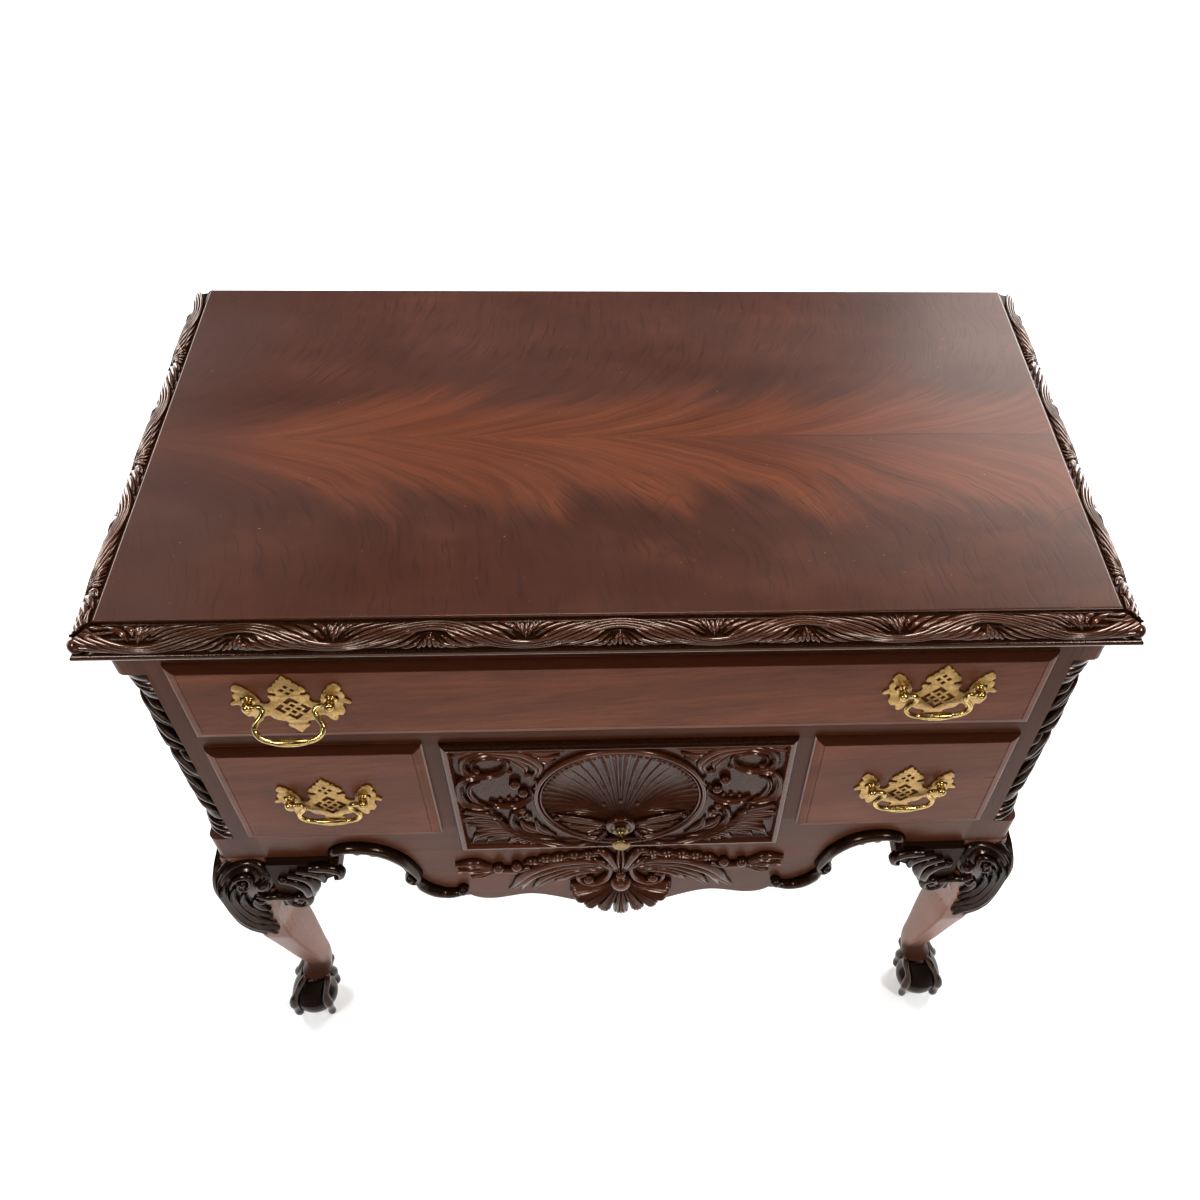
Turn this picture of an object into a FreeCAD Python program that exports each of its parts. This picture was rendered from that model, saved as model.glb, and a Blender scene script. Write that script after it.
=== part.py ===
import FreeCAD, Part
import math
import os
import re

doc = FreeCAD.newDocument("lowboy")
sheet = doc.addObject("Spreadsheet::Sheet", "dims")

# Driving sizes in millimetres and degrees. X runs to the right, Y to the back and Z up from the floor.
SIZES = (
    ("overall_height", 803, "floor to the top surface"),
    ("front_y", -209.2, "plane of the case front"),
    ("panel_width", 850, "figured top panel"),
    ("panel_depth", 465, "figured top panel"),
    ("panel_thick", 28, "figured top panel"),
    ("panel_round", 1.2, "eased top edge of the panel"),
    ("panel_step", 4.2, "case front stands before the panel edge"),
    ("molding_out", 21, "carved edge molding beyond the panel"),
    ("molding_drop", 1, "molding top below the panel top"),
    ("molding_bead", 7, "bead along the foot of the molding"),
    ("case_width", 858, "outside of the corner posts"),
    ("case_depth", 452, "front to back of the corner posts"),
    ("case_bottom", 421, "top of the knees"),
    ("post", 50, "square corner post above each leg"),
    ("side_thick", 18, "side boards"),
    ("side_inset", 3, "side boards behind the face of the posts"),
    ("side_dip", 34, "drop of the shaped side skirt"),
    ("back_thick", 14, "back board"),
    ("back_inset", 6, "back board behind the face of the rear posts"),
    ("back_low", 412, "lower edge of the back board"),
    ("rail_thick", 22, "front rails, dividers and apron"),
    ("long_low", 656, "opening of the long drawer"),
    ("long_high", 748, "opening of the long drawer"),
    ("lower_high", 624, "openings of the lower drawers"),
    ("side_low", 476, "openings of the two side drawers"),
    ("center_low", 439, "opening of the center drawer"),
    ("center_half", 164.6, "half width of the center opening"),
    ("side_in", 192, "inner edge of the side openings"),
    ("lip", 6, "drawer lip over the case"),
    ("lip_thick", 7, "drawer lip"),
    ("lip_gap", 0.3, "lip to the case front"),
    ("lip_round", 1.8, "eased edge of the lip"),
    ("drawer_gap", 1, "running clearance around a drawer"),
    ("front_thick", 15, "drawer front behind the lip"),
    ("drawer_side", 11, "drawer sides and backs"),
    ("drawer_bottom", 6, "drawer bottoms"),
    ("bottom_lift", 8, "drawer bottom above the lower edge of the sides"),
    ("back_drop", 12, "drawer back below the top edge of the sides"),
    ("drawer_length", 405, "case front to the rear of a drawer"),
    ("runner_wide", 28, "runner under each drawer side"),
    ("runner_high", 20, "runner under each drawer side"),
    ("guide_high", 36, "guide strips beside the drawers"),
    ("dish_radius", 80, "carved shell dish in the center drawer"),
    ("dish_depth", 8, "carved shell dish in the center drawer"),
    ("dish_z", 530.5, "middle of the dish"),
    ("column_notch", 26, "recess for a quarter column"),
    ("column_low", 461, "foot of the quarter columns"),
    ("column_high", 737, "head of the quarter columns"),
    ("column_ring", 26, "largest ring of a quarter column"),
    ("column_shaft", 22.5, "shaft of a quarter column"),
    ("ball_in", 17, "ball center inside the case corner, both ways"),
    ("ball_radius", 29, "ball of the foot"),
    ("ball_z", 26.5, "ball center above the floor"),
    ("bracket_long", 77, "knee bracket along the apron"),
    ("bracket_high", 94, "knee bracket at the leg"),
    ("bracket_end", 20, "knee bracket at its free end"),
    ("bracket_out", 10, "knee bracket before the case face"),
    ("bracket_deep", 32, "thickness of a knee bracket"),
    ("bracket_gap", 0.3, "bracket to the curved leg"),
    ("scroll_radius", 8.5, "bead of the apron scrolls"),
    ("shell_z", 350, "hub of the apron shell"),
    ("shell_reach", 55, "hub to the middle of a lobe end"),
    ("shell_lobe", 9.5, "lobe end of the apron shell"),
    ("shell_lobes", 11, "lobes of the apron shell"),
    ("shell_step", 17.6, "angle between the lobes"),
    ("leaf_thick", 7, "carved leaves beside the apron shell"),
    ("long_pull_x", 287, "middle of a pull, long drawer"),
    ("side_pull_x", 287, "middle of a pull, side drawers"),
    ("long_pull_z", 711, "post height, long drawer"),
    ("side_pull_z", 551, "post height, side drawers"),
    ("post_half", 35, "half the spacing of the pull posts"),
    ("plate_thick", 1.8, "pierced plate"),
    ("pull_post", 8, "pivot of the bail before the plate"),
    ("post_head", 4.8, "head of a pull post"),
    ("bolt_radius", 2.3, "bolt of a pull post or knob"),
    ("bolt_bore", 2.6, "bolt hole"),
    ("nut_radius", 5.5, "nut inside the drawer"),
    ("nut_thick", 3.5, "nut inside the drawer"),
    ("bail_wire", 2.6, "bail"),
    ("pin_bore", 3.1, "bail hole in the post head"),
    ("bail_grip", 4, "thick middle of the bail"),
    ("bail_drop", 31.5, "pivot to the grip of the bail"),
    ("bail_raised", 46, "raised bail of the long drawer"),
    ("knob_z", 473, "knob of the center drawer"),
    ("knob_reach", 18, "drawer face to the middle of the knob head"),
    ("knob_head", 9.5, "round flat head of the knob"),
)
for row, (alias, value, note) in enumerate(SIZES, start=1):
    sheet.set(f"A{row}", note)
    sheet.set(f"B{row}", str(value))
    sheet.setAlias(f"B{row}", alias)
doc.recompute()

ALIASES = {alias for alias, value, note in SIZES}
NODES = []


def size(alias):
    """Value of a driving size."""
    return float(sheet.get(alias))


def bound(text):
    """Expression text in which each size name points at its cell."""
    return re.sub(r"[a-z_]+", lambda m: "dims." + m[0] if m[0] in ALIASES else m[0], str(text))


def bind(item, **props):
    """Bind properties to expressions of the sheet; place_x stands for Placement.Base.x."""
    for prop, text in props.items():
        path = "Placement.Base." + prop[-1] if prop.startswith("place_") else prop
        item.setExpression(path, bound(text))


def node(item, label):
    """Name a finished piece of the assembly."""
    item.Label = label
    NODES.append(item)
    return item


def between(item, low, high):
    """Set a box between two opposite corners given as expressions."""
    for prop, axis, start, end in zip(("Length", "Width", "Height"), "xyz", low, high):
        item.setExpression(prop, bound(f"({end}) - ({start})"))
        item.setExpression(f"Placement.Base.{axis}", bound(start))
    return item


def board(name, low, high):
    """Square-edged board between two opposite corners."""
    return between(doc.addObject("Part::Box", name), low, high)


def mirrored(source, name):
    """The same piece on the other side of the middle plane."""
    twin = doc.addObject("Part::Mirroring", name)
    twin.Source = source
    twin.Normal = FreeCAD.Vector(1, 0, 0)
    return twin


def group(parts, name):
    """Several separate solids as one piece."""
    joined = doc.addObject("Part::Compound", name)
    joined.Links = parts
    return joined


def new_body(name):
    return doc.addObject("PartDesign::Body", name)


def origin_item(body, role):
    return next(item for item in body.Origin.OriginFeatures if item.Role == role)


def curves(steps):
    """Outline from a start point; a step is a point, an arc (middle, end) or a spline [points]."""
    vectors = lambda points: [FreeCAD.Vector(x, y, 0) for x, y in points]
    here = steps[0]
    made = []
    for step in steps[1:]:
        if isinstance(step, list):
            spline = Part.BSplineCurve()
            spline.interpolate(vectors([here] + step))
            made.append(spline)
            here = step[-1]
        elif isinstance(step[0], tuple):
            made.append(Part.Arc(*vectors([here, step[0], step[1]])))
            here = step[1]
        else:
            made.append(Part.LineSegment(*vectors([here, step])))
            here = step
    return made


def sketch_on(body, role, items, offset="0"):
    """Sketch on an origin plane of the body, moved along the plane's normal."""
    sketch = body.newObject("Sketcher::SketchObject", body.Name + "_sketch")
    sketch.AttachmentSupport = (origin_item(body, role), [""])
    sketch.MapMode = "FlatFace"
    sketch.setExpression("AttachmentOffset.Base.z", bound(offset))
    sketch.addGeometry(items)
    return sketch


def pad(body, sketch, length):
    """Pad a sketch along its normal."""
    made = body.newObject("PartDesign::Pad", body.Name + "_pad")
    made.Profile = sketch
    made.setExpression("Length", bound(length))
    return made


def spin(body, steps, angle, role="XZ_Plane"):
    """Turn an outline of radius and height about the body's upright axis."""
    sketch = sketch_on(body, role, curves(steps))
    made = body.newObject("PartDesign::Revolution", body.Name + "_turned")
    made.Profile = sketch
    made.ReferenceAxis = (sketch, ["V_Axis"])
    made.Angle = angle
    return made


def solid(body, kind, name, **props):
    """Additive or subtractive primitive of a body."""
    made = body.newObject("PartDesign::" + kind, body.Name + "_" + name)
    bind(made, **props)
    return made


def eased(body, base, radius, test):
    """Round the edges whose middle point passes the test."""
    doc.recompute()
    names = [
        f"Edge{index}"
        for index, edge in enumerate(base.Shape.Edges, start=1)
        if test(edge.CenterOfMass)
    ]
    made = body.newObject("PartDesign::Fillet", body.Name + "_eased")
    made.Base = (base, names)
    made.setExpression("Radius", bound(radius))
    return made


def bore(body, name, x, z, low, high):
    """Hole through a body along Y between two depths."""
    hole = solid(
        body, "SubtractiveCylinder", name, Radius="bolt_bore", Height=f"({high}) - ({low})",
        place_x=x, place_y=high, place_z=z,
    )
    hole.Placement.Rotation = FreeCAD.Rotation(FreeCAD.Vector(1, 0, 0), 90)
    return hole


# Places that many pieces share, as expressions.
TOP = "overall_height - panel_thick"
EDGE_Y = "front_y + panel_step"
REAR_Y = "front_y + case_depth"
HALF = "case_width / 2"
OPENING = "case_width / 2 - post"
RAIL_BACK = "front_y + rail_thick"
BACK_FACE = "front_y + case_depth - back_inset - back_thick"
DRAWER_FACE = "front_y - lip_gap - lip_thick"
BLOCK_BACK = "front_y + front_thick"

# Top panel with an eased edge all around.
top = new_body("top_panel_body")
slab = between(
    top.newObject("PartDesign::AdditiveBox", "top_slab"),
    ("-panel_width / 2", EDGE_Y, TOP),
    ("panel_width / 2", EDGE_Y + " + panel_depth", "overall_height"),
)
eased(top, slab, "panel_round", lambda p: p.z > size("overall_height") - 0.01)
node(top, "top_panel")


def edge_molding(name, length, mitres):
    """Carved edge molding along local X, standing out to -Y, cut at 45 degrees at the named ends."""
    body = new_body(name)
    out = size("molding_out")
    drop = size("molding_drop")
    bead = size("molding_bead")
    thick = size("panel_thick")
    swell = [(0.55, 0.08), (0.8, 0.16), (0.94, 0.3), (0.98, 0.46), (0.95, 0.6)]
    profile = [
        (0, -drop),
        (-0.14 * out, -drop),
        [(-out * far, -thick * low) for far, low in swell] + [(-0.86 * out, -thick + bead)],
        ((-out, -thick + bead / 2), (-0.86 * out, -thick)),
        (0, -thick),
        (0, -drop),
    ]
    sketch = sketch_on(body, "YZ_Plane", curves(profile))
    strip = pad(body, sketch, length)
    strip.Midplane = True
    doc.recompute()
    half = strip.Length.Value / 2
    for side in mitres:
        end = side * half
        corner = [(end, 1), (end, -out), (end - side * out, 0), (end - side * out, 1), (end, 1)]
        waste = sketch_on(body, "XY_Plane", curves(corner), "1")
        cut = body.newObject("PartDesign::Pocket", name + "_mitre")
        cut.Profile = waste
        cut.Type = "ThroughAll"
    bind(body, place_z="overall_height")
    return body


front_molding = edge_molding("front_molding", "panel_width + 2 * molding_out", (-1, 1))
bind(front_molding, place_y=EDGE_Y)
node(front_molding, "top_molding_front")
left_molding = edge_molding("left_molding", "panel_depth + molding_out", (1,))
left_molding.Placement.Rotation = FreeCAD.Rotation(FreeCAD.Vector(0, 0, 1), -90)
bind(left_molding, place_x="-panel_width / 2", place_y=EDGE_Y + " + (panel_depth - molding_out) / 2")
node(left_molding, "top_molding_left")
node(mirrored(left_molding, "right_molding"), "top_molding_right")

# Side boards between the posts, with a shaped skirt.
SIDE_OUT = "case_width / 2 - side_inset"
side = new_body("side_panel_body")
skirt_front = size("front_y") + size("post")
skirt_rear = size("front_y") + size("case_depth") - size("post")
skirt_mid = (skirt_front + skirt_rear) / 2
skirt_low = size("case_bottom") - size("side_dip")
arch_near = size("bracket_long") + 2
outline = [
    (skirt_front, size("overall_height") - size("panel_thick")),
    (skirt_front, size("case_bottom")),
    (skirt_front + arch_near, size("case_bottom")),
    [(skirt_mid - 80, skirt_low + 8), (skirt_mid - 52, skirt_low + 3), (skirt_mid, skirt_low + 12)],
    [(skirt_mid + 52, skirt_low + 3), (skirt_mid + 80, skirt_low + 8),
     (skirt_rear - arch_near, size("case_bottom"))],
    (skirt_rear, size("case_bottom")),
    (skirt_rear, size("overall_height") - size("panel_thick")),
    (skirt_front, size("overall_height") - size("panel_thick")),
]
pad(side, sketch_on(side, "YZ_Plane", curves(outline), f"-({SIDE_OUT})"), "side_thick")
node(side, "side_panel_left")
node(mirrored(side, "side_panel_twin"), "side_panel_right")

# Back board between the rear posts.
back = board(
    "back_board",
    (f"-({OPENING})", BACK_FACE, "back_low"),
    (OPENING, BACK_FACE + " + back_thick", TOP),
)
node(back, "back_panel")

# Front rails and dividers.
top_rail = board("top_rail_board", (f"-({OPENING})", "front_y", "long_high"), (OPENING, RAIL_BACK, TOP))
node(top_rail, "top_rail")
drawer_rail = board(
    "drawer_rail_board",
    (f"-({OPENING})", "front_y", "lower_high"),
    (OPENING, RAIL_BACK, "long_low"),
)
node(drawer_rail, "drawer_rail")
divider = board(
    "divider_board",
    ("-side_in", "front_y", "side_low"),
    ("-center_half", RAIL_BACK, "lower_high"),
)
node(divider, "divider_left")
node(mirrored(divider, "divider_twin"), "divider_right")

# Apron: arches beside the knees, a flat scalloped middle and a notch for the center drawer.
ARCH = [(-287, 428), (-268, 425), (-250, 412), (-240, 392), (-235, 372), (-226, 348), (-206, 329)]
LOBE = [(-172, 324), (-150, 314), (-128, 318), (-104, 323), (-78, 316), (-44, 300)]
APRON_MIDDLE = 296


def apron_half(sign):
    """Lower edge of one half of the apron, from the post to the middle."""
    start = sign * (size("case_width") / 2 - size("post"))
    flip = lambda points: [(-sign * x, z) for x, z in points]
    return start, flip([(-299, size("case_bottom"))] + ARCH), flip(LOBE + [(0, APRON_MIDDLE)])


left_start, left_arch, left_lobe = apron_half(-1)
right_start, right_arch, right_lobe = apron_half(1)
outline = [
    (left_start, size("side_low")),
    (left_start, size("case_bottom")),
    left_arch[0],
    left_arch[1:] + left_lobe[:1],
    left_lobe[1:],
    right_lobe[-2::-1],
    right_arch[::-1],
    (right_start, size("case_bottom")),
    (right_start, size("side_low")),
    (size("center_half"), size("side_low")),
    (size("center_half"), size("center_low")),
    (-size("center_half"), size("center_low")),
    (-size("center_half"), size("side_low")),
    (left_start, size("side_low")),
]
apron = new_body("apron_body")
pad(apron, sketch_on(apron, "XZ_Plane", curves(outline), f"-({RAIL_BACK})"), "rail_thick")
node(apron, "apron")

# Cabriole leg and corner post: rounded squares from the foot to the knee.
# Each station is height, inset of the outer corner from the case corner, side and corner radius.
LEG = (
    (20, -12.4, 58.8, 27),
    (30, -12.8, 59.6, 27),
    (41, -10, 54, 24),
    (53, -5, 46, 20),
    (66, 3, 40.5, 17),
    (80, 12.5, 35.5, 14),
    (97, 19, 32, 13),
    (140, 14.5, 34, 11),
    (200, 8, 38.5, 10),
    (250, 1, 44, 9),
    (295, -9, 54.5, 9),
    (340, -16.5, 65, 9),
    (375, -16.5, 66, 8),
    (402, -10, 59.5, 6),
    (421, -2, 51.5, 5),
)
# Talon stations: height, middle line of the foot inside the case corner, distance from that line and radius.
TALON = (
    (98, 35, 17, 4),
    (84, 31.4, 20, 5.4),
    (70, 25.4, 23.4, 6.8),
    (57, 19.5, 25.8, 6),
    (44, 17, 29, 6.2),
    (32, 17, 31, 6.8),
    (20, 17, 31.4, 5.2),
    (10, 17, 30.6, 5.2),
    (0, 17, 28, 3),
)
TALON_WAYS = ((-1, -1), (1, -1), (1, 1), (-1, 1))


def rounded_square(low, side, radius):
    """Outline of a square with round corners, its lowest corner at (low, low)."""
    high = low + side
    bend = radius * (1 - math.sqrt(0.5))
    return curves([
        (low + radius, low),
        (high - radius, low),
        ((high - bend, low + bend), (high, low + radius)),
        (high, high - radius),
        ((high - bend, high - bend), (high - radius, high)),
        (low + radius, high),
        ((low + bend, high - bend), (low, high - radius)),
        (low, low + radius),
        ((low + bend, low + bend), (low + radius, low)),
    ])


def loft(body, sketches, name):
    made = body.newObject("PartDesign::AdditiveLoft", body.Name + "_" + name)
    made.Profile = sketches[0]
    made.Sections = sketches[1:]
    return made


def leg_body(name, notched):
    """Leg about the axis of its ball, with the outer corner of the case to -X and -Y."""
    body = new_body(name)
    corner = -size("ball_in")
    sketches = [
        sketch_on(body, "XY_Plane", rounded_square(corner + inset, side, radius), height)
        for height, inset, side, radius in LEG
    ]
    loft(body, sketches, "curve")
    between(
        body.newObject("PartDesign::AdditiveBox", name + "_post"),
        ("-ball_in", "-ball_in", "case_bottom"),
        ("post - ball_in", "post - ball_in", TOP),
    )
    solid(body, "AdditiveSphere", "ball", Radius="ball_radius", place_z="ball_z")
    reach = math.sqrt(0.5)
    for way_x, way_y in TALON_WAYS:
        circles = []
        for height, line, away, radius in TALON:
            across = corner + line + way_x * away * reach
            deep = corner + line + way_y * away * reach
            round_section = Part.Circle(FreeCAD.Vector(across, deep, 0), FreeCAD.Vector(0, 0, 1), radius)
            circles.append(sketch_on(body, "XY_Plane", [round_section], height))
        loft(body, circles, "talon")
    doc.recompute()
    between(
        body.newObject("PartDesign::SubtractiveBox", name + "_floor"),
        ("-2 * ball_radius", "-2 * ball_radius", "-2 * ball_radius"),
        ("2 * ball_radius", "2 * ball_radius", "0"),
    )
    if notched:
        between(
            body.newObject("PartDesign::SubtractiveBox", name + "_notch"),
            ("-ball_in - 1", "-ball_in - 1", "column_low"),
            ("column_notch - ball_in", "column_notch - ball_in", "column_high"),
        )
    return body


LEG_X = f"ball_in - {HALF}"
front_leg = leg_body("front_leg", True)
bind(front_leg, place_x=LEG_X, place_y="front_y + ball_in")
node(front_leg, "leg_front_left")
node(mirrored(front_leg, "front_leg_twin"), "leg_front_right")
rear_leg = leg_body("rear_leg", False)
rear_leg.Placement.Rotation = FreeCAD.Rotation(FreeCAD.Vector(0, 0, 1), -90)
bind(rear_leg, place_x=LEG_X, place_y=REAR_Y + " - ball_in")
node(rear_leg, "leg_rear_left")
node(mirrored(rear_leg, "rear_leg_twin"), "leg_rear_right")

# Quarter column in the notch of each front post: rings at both ends and a plain shaft to carve.
column = new_body("column_body")
ring = size("column_ring")
shaft = size("column_shaft")
low = size("column_low")
high = size("column_high")
RING_HEIGHT = 11
COVE_HEIGHT = 3
END_HEIGHT = 25
spin(column, [
    (0, low),
    (ring - 1, low),
    ((ring, low + RING_HEIGHT / 2), (ring - 1, low + RING_HEIGHT)),
    ((shaft - 1, low + RING_HEIGHT + COVE_HEIGHT / 2), (shaft, low + RING_HEIGHT + COVE_HEIGHT)),
    ((ring - 1, low + 19.5), (shaft, low + END_HEIGHT)),
    (shaft, high - END_HEIGHT),
    ((ring - 1, high - 19.5), (shaft, high - RING_HEIGHT - COVE_HEIGHT)),
    ((shaft - 1, high - RING_HEIGHT - COVE_HEIGHT / 2), (ring - 1, high - RING_HEIGHT)),
    ((ring, high - RING_HEIGHT / 2), (ring - 1, high)),
    (0, high),
    (0, low),
], 90)
column.Placement.Rotation = FreeCAD.Rotation(FreeCAD.Vector(0, 0, 1), 180)
bind(column, place_x=f"column_notch - {HALF}", place_y="front_y + column_notch")
node(column, "quarter_column_left")
node(mirrored(column, "column_twin"), "quarter_column_right")


def knee_bracket(name):
    """Knee bracket along local X from the leg, its face towards -Y and its top at zero height."""
    body = new_body(name)
    start = size("bracket_gap")
    long = size("bracket_long")
    tall = size("bracket_high")
    end = size("bracket_end")
    outline = [
        (start, 0),
        (long, 0),
        (long, -end),
        [(0.76 * long, -0.36 * tall), (0.52 * long, -0.48 * tall), (0.36 * long, -0.74 * tall),
         (0.16 * long, -0.92 * tall), (start + 3, -tall)],
        (start, -tall),
        (start, 0),
    ]
    face = -size("bracket_out")
    sketch = sketch_on(body, "XZ_Plane", curves(outline), "bracket_out - bracket_deep")
    block = pad(body, sketch, "bracket_deep")
    eased(body, block, "lip_round", lambda p: p.y < face + 0.01 and p.z < -1 and p.x > start + 1)
    return body


front_bracket = knee_bracket("front_bracket")
bind(front_bracket, place_x=f"-({OPENING})", place_y="front_y", place_z="case_bottom")
node(front_bracket, "knee_bracket_left")
node(mirrored(front_bracket, "front_bracket_twin"), "knee_bracket_right")
side_front = knee_bracket("side_front_bracket")
side_front.Placement.Rotation = FreeCAD.Rotation(FreeCAD.Vector(0, 0, 1), -90)
rear_corner = mirrored(side_front, "side_rear_bracket")
rear_corner.Normal = FreeCAD.Vector(0, 1, 0)
side_face = f"-({HALF})"
bind(side_front, place_x=side_face, place_y=REAR_Y + " - post", place_z="case_bottom")
rear_corner.Base = FreeCAD.Vector(0, size("front_y") + size("case_depth") / 2, 0)
side_pair = group([side_front, rear_corner], "side_brackets")
node(side_pair, "side_brackets_left")
node(mirrored(side_pair, "side_brackets_twin"), "side_brackets_right")

# Carved scroll along each arch: a round bead on the face of the apron.
SCROLL = [
    (-309, 421.3), (-308, 428), (-302, 437), (-288, 443), (-268, 441), (-250, 431),
    (-235, 413), (-226, 390), (-221, 369), (-212, 351), (-198, 339), (-181, 338),
]
scroll = new_body("scroll_body")
spine = sketch_on(scroll, "XZ_Plane", curves([SCROLL[0], SCROLL[1:]]), "-front_y")
bead_x = SCROLL[0][0]
bead_y = size("front_y")
bead_r = size("scroll_radius")
half_round = [(bead_x - bead_r, bead_y), ((bead_x, bead_y - bead_r), (bead_x + bead_r, bead_y)),
              (bead_x - bead_r, bead_y)]
bead = sketch_on(scroll, "XY_Plane", curves(half_round), SCROLL[0][1])
sweep = scroll.newObject("PartDesign::AdditivePipe", "scroll_bead")
sweep.Profile = bead
sweep.Spine = (spine, ["Edge1"])
sweep.Mode = "Binormal"
sweep.Binormal = FreeCAD.Vector(0, 1, 0)
node(scroll, "apron_scroll_left")
node(mirrored(scroll, "scroll_twin"), "apron_scroll_right")

# Carved shell and leaves on the middle of the apron.
LEAVES = [
    (0, 430),
    [(-34, 421), (-70, 412), (-108, 406), (-150, 402), (-178, 396)],
    [(-172, 384), (-142, 383), (-118, 386)],
    [(-120, 370), (-131, 340)],
    [(-104, 356), (-95, 347)],
    [(-70, 366), (-46, 370), (-24, 352)],
    (0, 352),
    (0, 430),
]
shell = new_body("shell_body")
leaves = pad(shell, sketch_on(shell, "XZ_Plane", curves(LEAVES), "-front_y"), "leaf_thick")
doc.recompute()
other = shell.newObject("PartDesign::Mirrored", "other_leaves")
other.Originals = [leaves]
other.MirrorPlane = (origin_item(shell, "YZ_Plane"), [""])
shell.Tip = other
doc.recompute()
solid(shell, "AdditiveSphere", "hub", Radius="1.6 * shell_lobe", place_y="front_y", place_z="shell_z + 18")
first = -(int(size("shell_lobes")) - 1) / 2
for index in range(int(size("shell_lobes"))):
    angle = (first + index) * size("shell_step")
    turn = FreeCAD.Rotation(FreeCAD.Vector(0, 1, 0), 180 - angle)
    ray = solid(
        shell, "AdditiveCone", f"ray{index}", Radius1="0.35 * shell_lobe", Radius2="0.97 * shell_lobe",
        Height="shell_reach", place_y="front_y", place_z="shell_z",
    )
    ray.Placement.Rotation = turn
    tip = turn.multVec(FreeCAD.Vector(0, 0, size("shell_reach")))
    end = solid(shell, "AdditiveSphere", f"end{index}", Radius="shell_lobe", place_y="front_y")
    end.Placement.Base.x = tip.x
    end.Placement.Base.z = size("shell_z") + tip.z
between(
    shell.newObject("PartDesign::SubtractiveBox", "shell_back"),
    (-220, "front_y", 200),
    (220, "front_y + 60", 500),
)
node(shell, "apron_shell")

# Runners and guides inside the case.
upper = [
    board(
        "upper_runner",
        (f"-({OPENING})", RAIL_BACK, "long_low - runner_high"),
        (f"-({OPENING}) + runner_wide", BACK_FACE, "long_low"),
    ),
    board(
        "upper_guide",
        (f"side_thick - ({SIDE_OUT})", "front_y + post", "long_low"),
        (f"-({OPENING})", REAR_Y + " - post", "long_low + guide_high"),
    ),
]
upper += [mirrored(part, part.Name + "_twin") for part in upper]
node(group(upper, "upper_runner_set"), "upper_runners")
lower = [
    board(
        "outer_runner",
        (f"-({OPENING})", RAIL_BACK, "side_low - runner_high"),
        (f"-({OPENING}) + runner_wide", BACK_FACE, "side_low"),
    ),
    board(
        "inner_runner",
        ("-side_in - runner_wide", RAIL_BACK, "side_low - runner_high"),
        ("-center_half - 1", BACK_FACE, "side_low"),
    ),
    board(
        "center_runner",
        ("-center_half", RAIL_BACK, "center_low - runner_high"),
        ("-center_half + runner_wide", BACK_FACE, "center_low"),
    ),
]
lower += [mirrored(part, part.Name + "_twin") for part in lower]
node(group(lower, "lower_runner_set"), "lower_runners")
guides = [
    board(
        "outer_guide",
        (f"side_thick - ({SIDE_OUT})", "front_y + post", "side_low"),
        (f"-({OPENING})", REAR_Y + " - post", "side_low + guide_high"),
    ),
    board(
        "inner_guide",
        ("-side_in", RAIL_BACK, "side_low"),
        ("-center_half", BACK_FACE, "side_low + guide_high"),
    ),
]
guides += [mirrored(part, part.Name + "_twin") for part in guides]
node(group(guides, "guide_set"), "lower_guides")


def drawer(name, left, right, low, high, bolts):
    """Lipped drawer for the opening between the expressions: front, two sides, back and bottom."""
    front = new_body(name + "_front_body")
    lip = between(
        front.newObject("PartDesign::AdditiveBox", name + "_lip"),
        (f"{left} - lip", DRAWER_FACE, f"{low} - lip"),
        (f"{right} + lip", "front_y - lip_gap", f"{high} + lip"),
    )
    face = size("front_y") - size("lip_gap") - size("lip_thick")
    eased(front, lip, "lip_round", lambda p: p.y < face + 0.01)
    inner = (f"{left} + drawer_gap", f"{right} - drawer_gap", f"{low}", f"{high} - drawer_gap")
    between(
        front.newObject("PartDesign::AdditiveBox", name + "_block"),
        (inner[0], "front_y - lip_gap", inner[2]),
        (inner[1], BLOCK_BACK, inner[3]),
    )
    for index, (x, z) in enumerate(bolts):
        bore(front, f"bolt{index}", x, z, "front_y - 20", "front_y + 30")
    rear = "front_y + drawer_length"
    side_left = board(
        name + "_left_side",
        (inner[0], BLOCK_BACK, inner[2]),
        (f"{inner[0]} + drawer_side", rear, inner[3]),
    )
    side_right = board(
        name + "_right_side",
        (f"{inner[1]} - drawer_side", BLOCK_BACK, inner[2]),
        (inner[1], rear, inner[3]),
    )
    rear_board = board(
        name + "_rear",
        (f"{inner[0]} + drawer_side", f"{rear} - drawer_side", f"{inner[2]} + bottom_lift"),
        (f"{inner[1]} - drawer_side", rear, f"{inner[3]} - back_drop"),
    )
    floor = board(
        name + "_floor",
        (f"{inner[0]} + drawer_side", BLOCK_BACK, f"{inner[2]} + bottom_lift"),
        (f"{inner[1]} - drawer_side", f"{rear} - drawer_side", f"{inner[2]} + bottom_lift + drawer_bottom"),
    )
    return front, side_left, side_right, rear_board, floor


PIECES = ("front", "side_left", "side_right", "back", "bottom")
long_bolts = [
    (f"{sign} * (long_pull_x + {way} * post_half)", "long_pull_z") for sign in (-1, 1) for way in (-1, 1)
]
side_bolts = [(f"{way} * post_half - side_pull_x", "side_pull_z") for way in (-1, 1)]
long_pieces = drawer("long_drawer", f"-({OPENING})", f"({OPENING})", "long_low", "long_high", long_bolts)
for piece, word in zip(long_pieces, PIECES):
    node(piece, "long_drawer_" + word)
left_pieces = drawer("left_drawer", f"-({OPENING})", "-side_in", "side_low", "lower_high", side_bolts)
MIRROR_ORDER = (0, 2, 1, 3, 4)
for piece, word in zip(left_pieces, PIECES):
    node(piece, "left_drawer_" + word)
for order, word in zip(MIRROR_ORDER, PIECES):
    node(mirrored(left_pieces[order], "right_drawer_" + word + "_twin"), "right_drawer_" + word)
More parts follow.
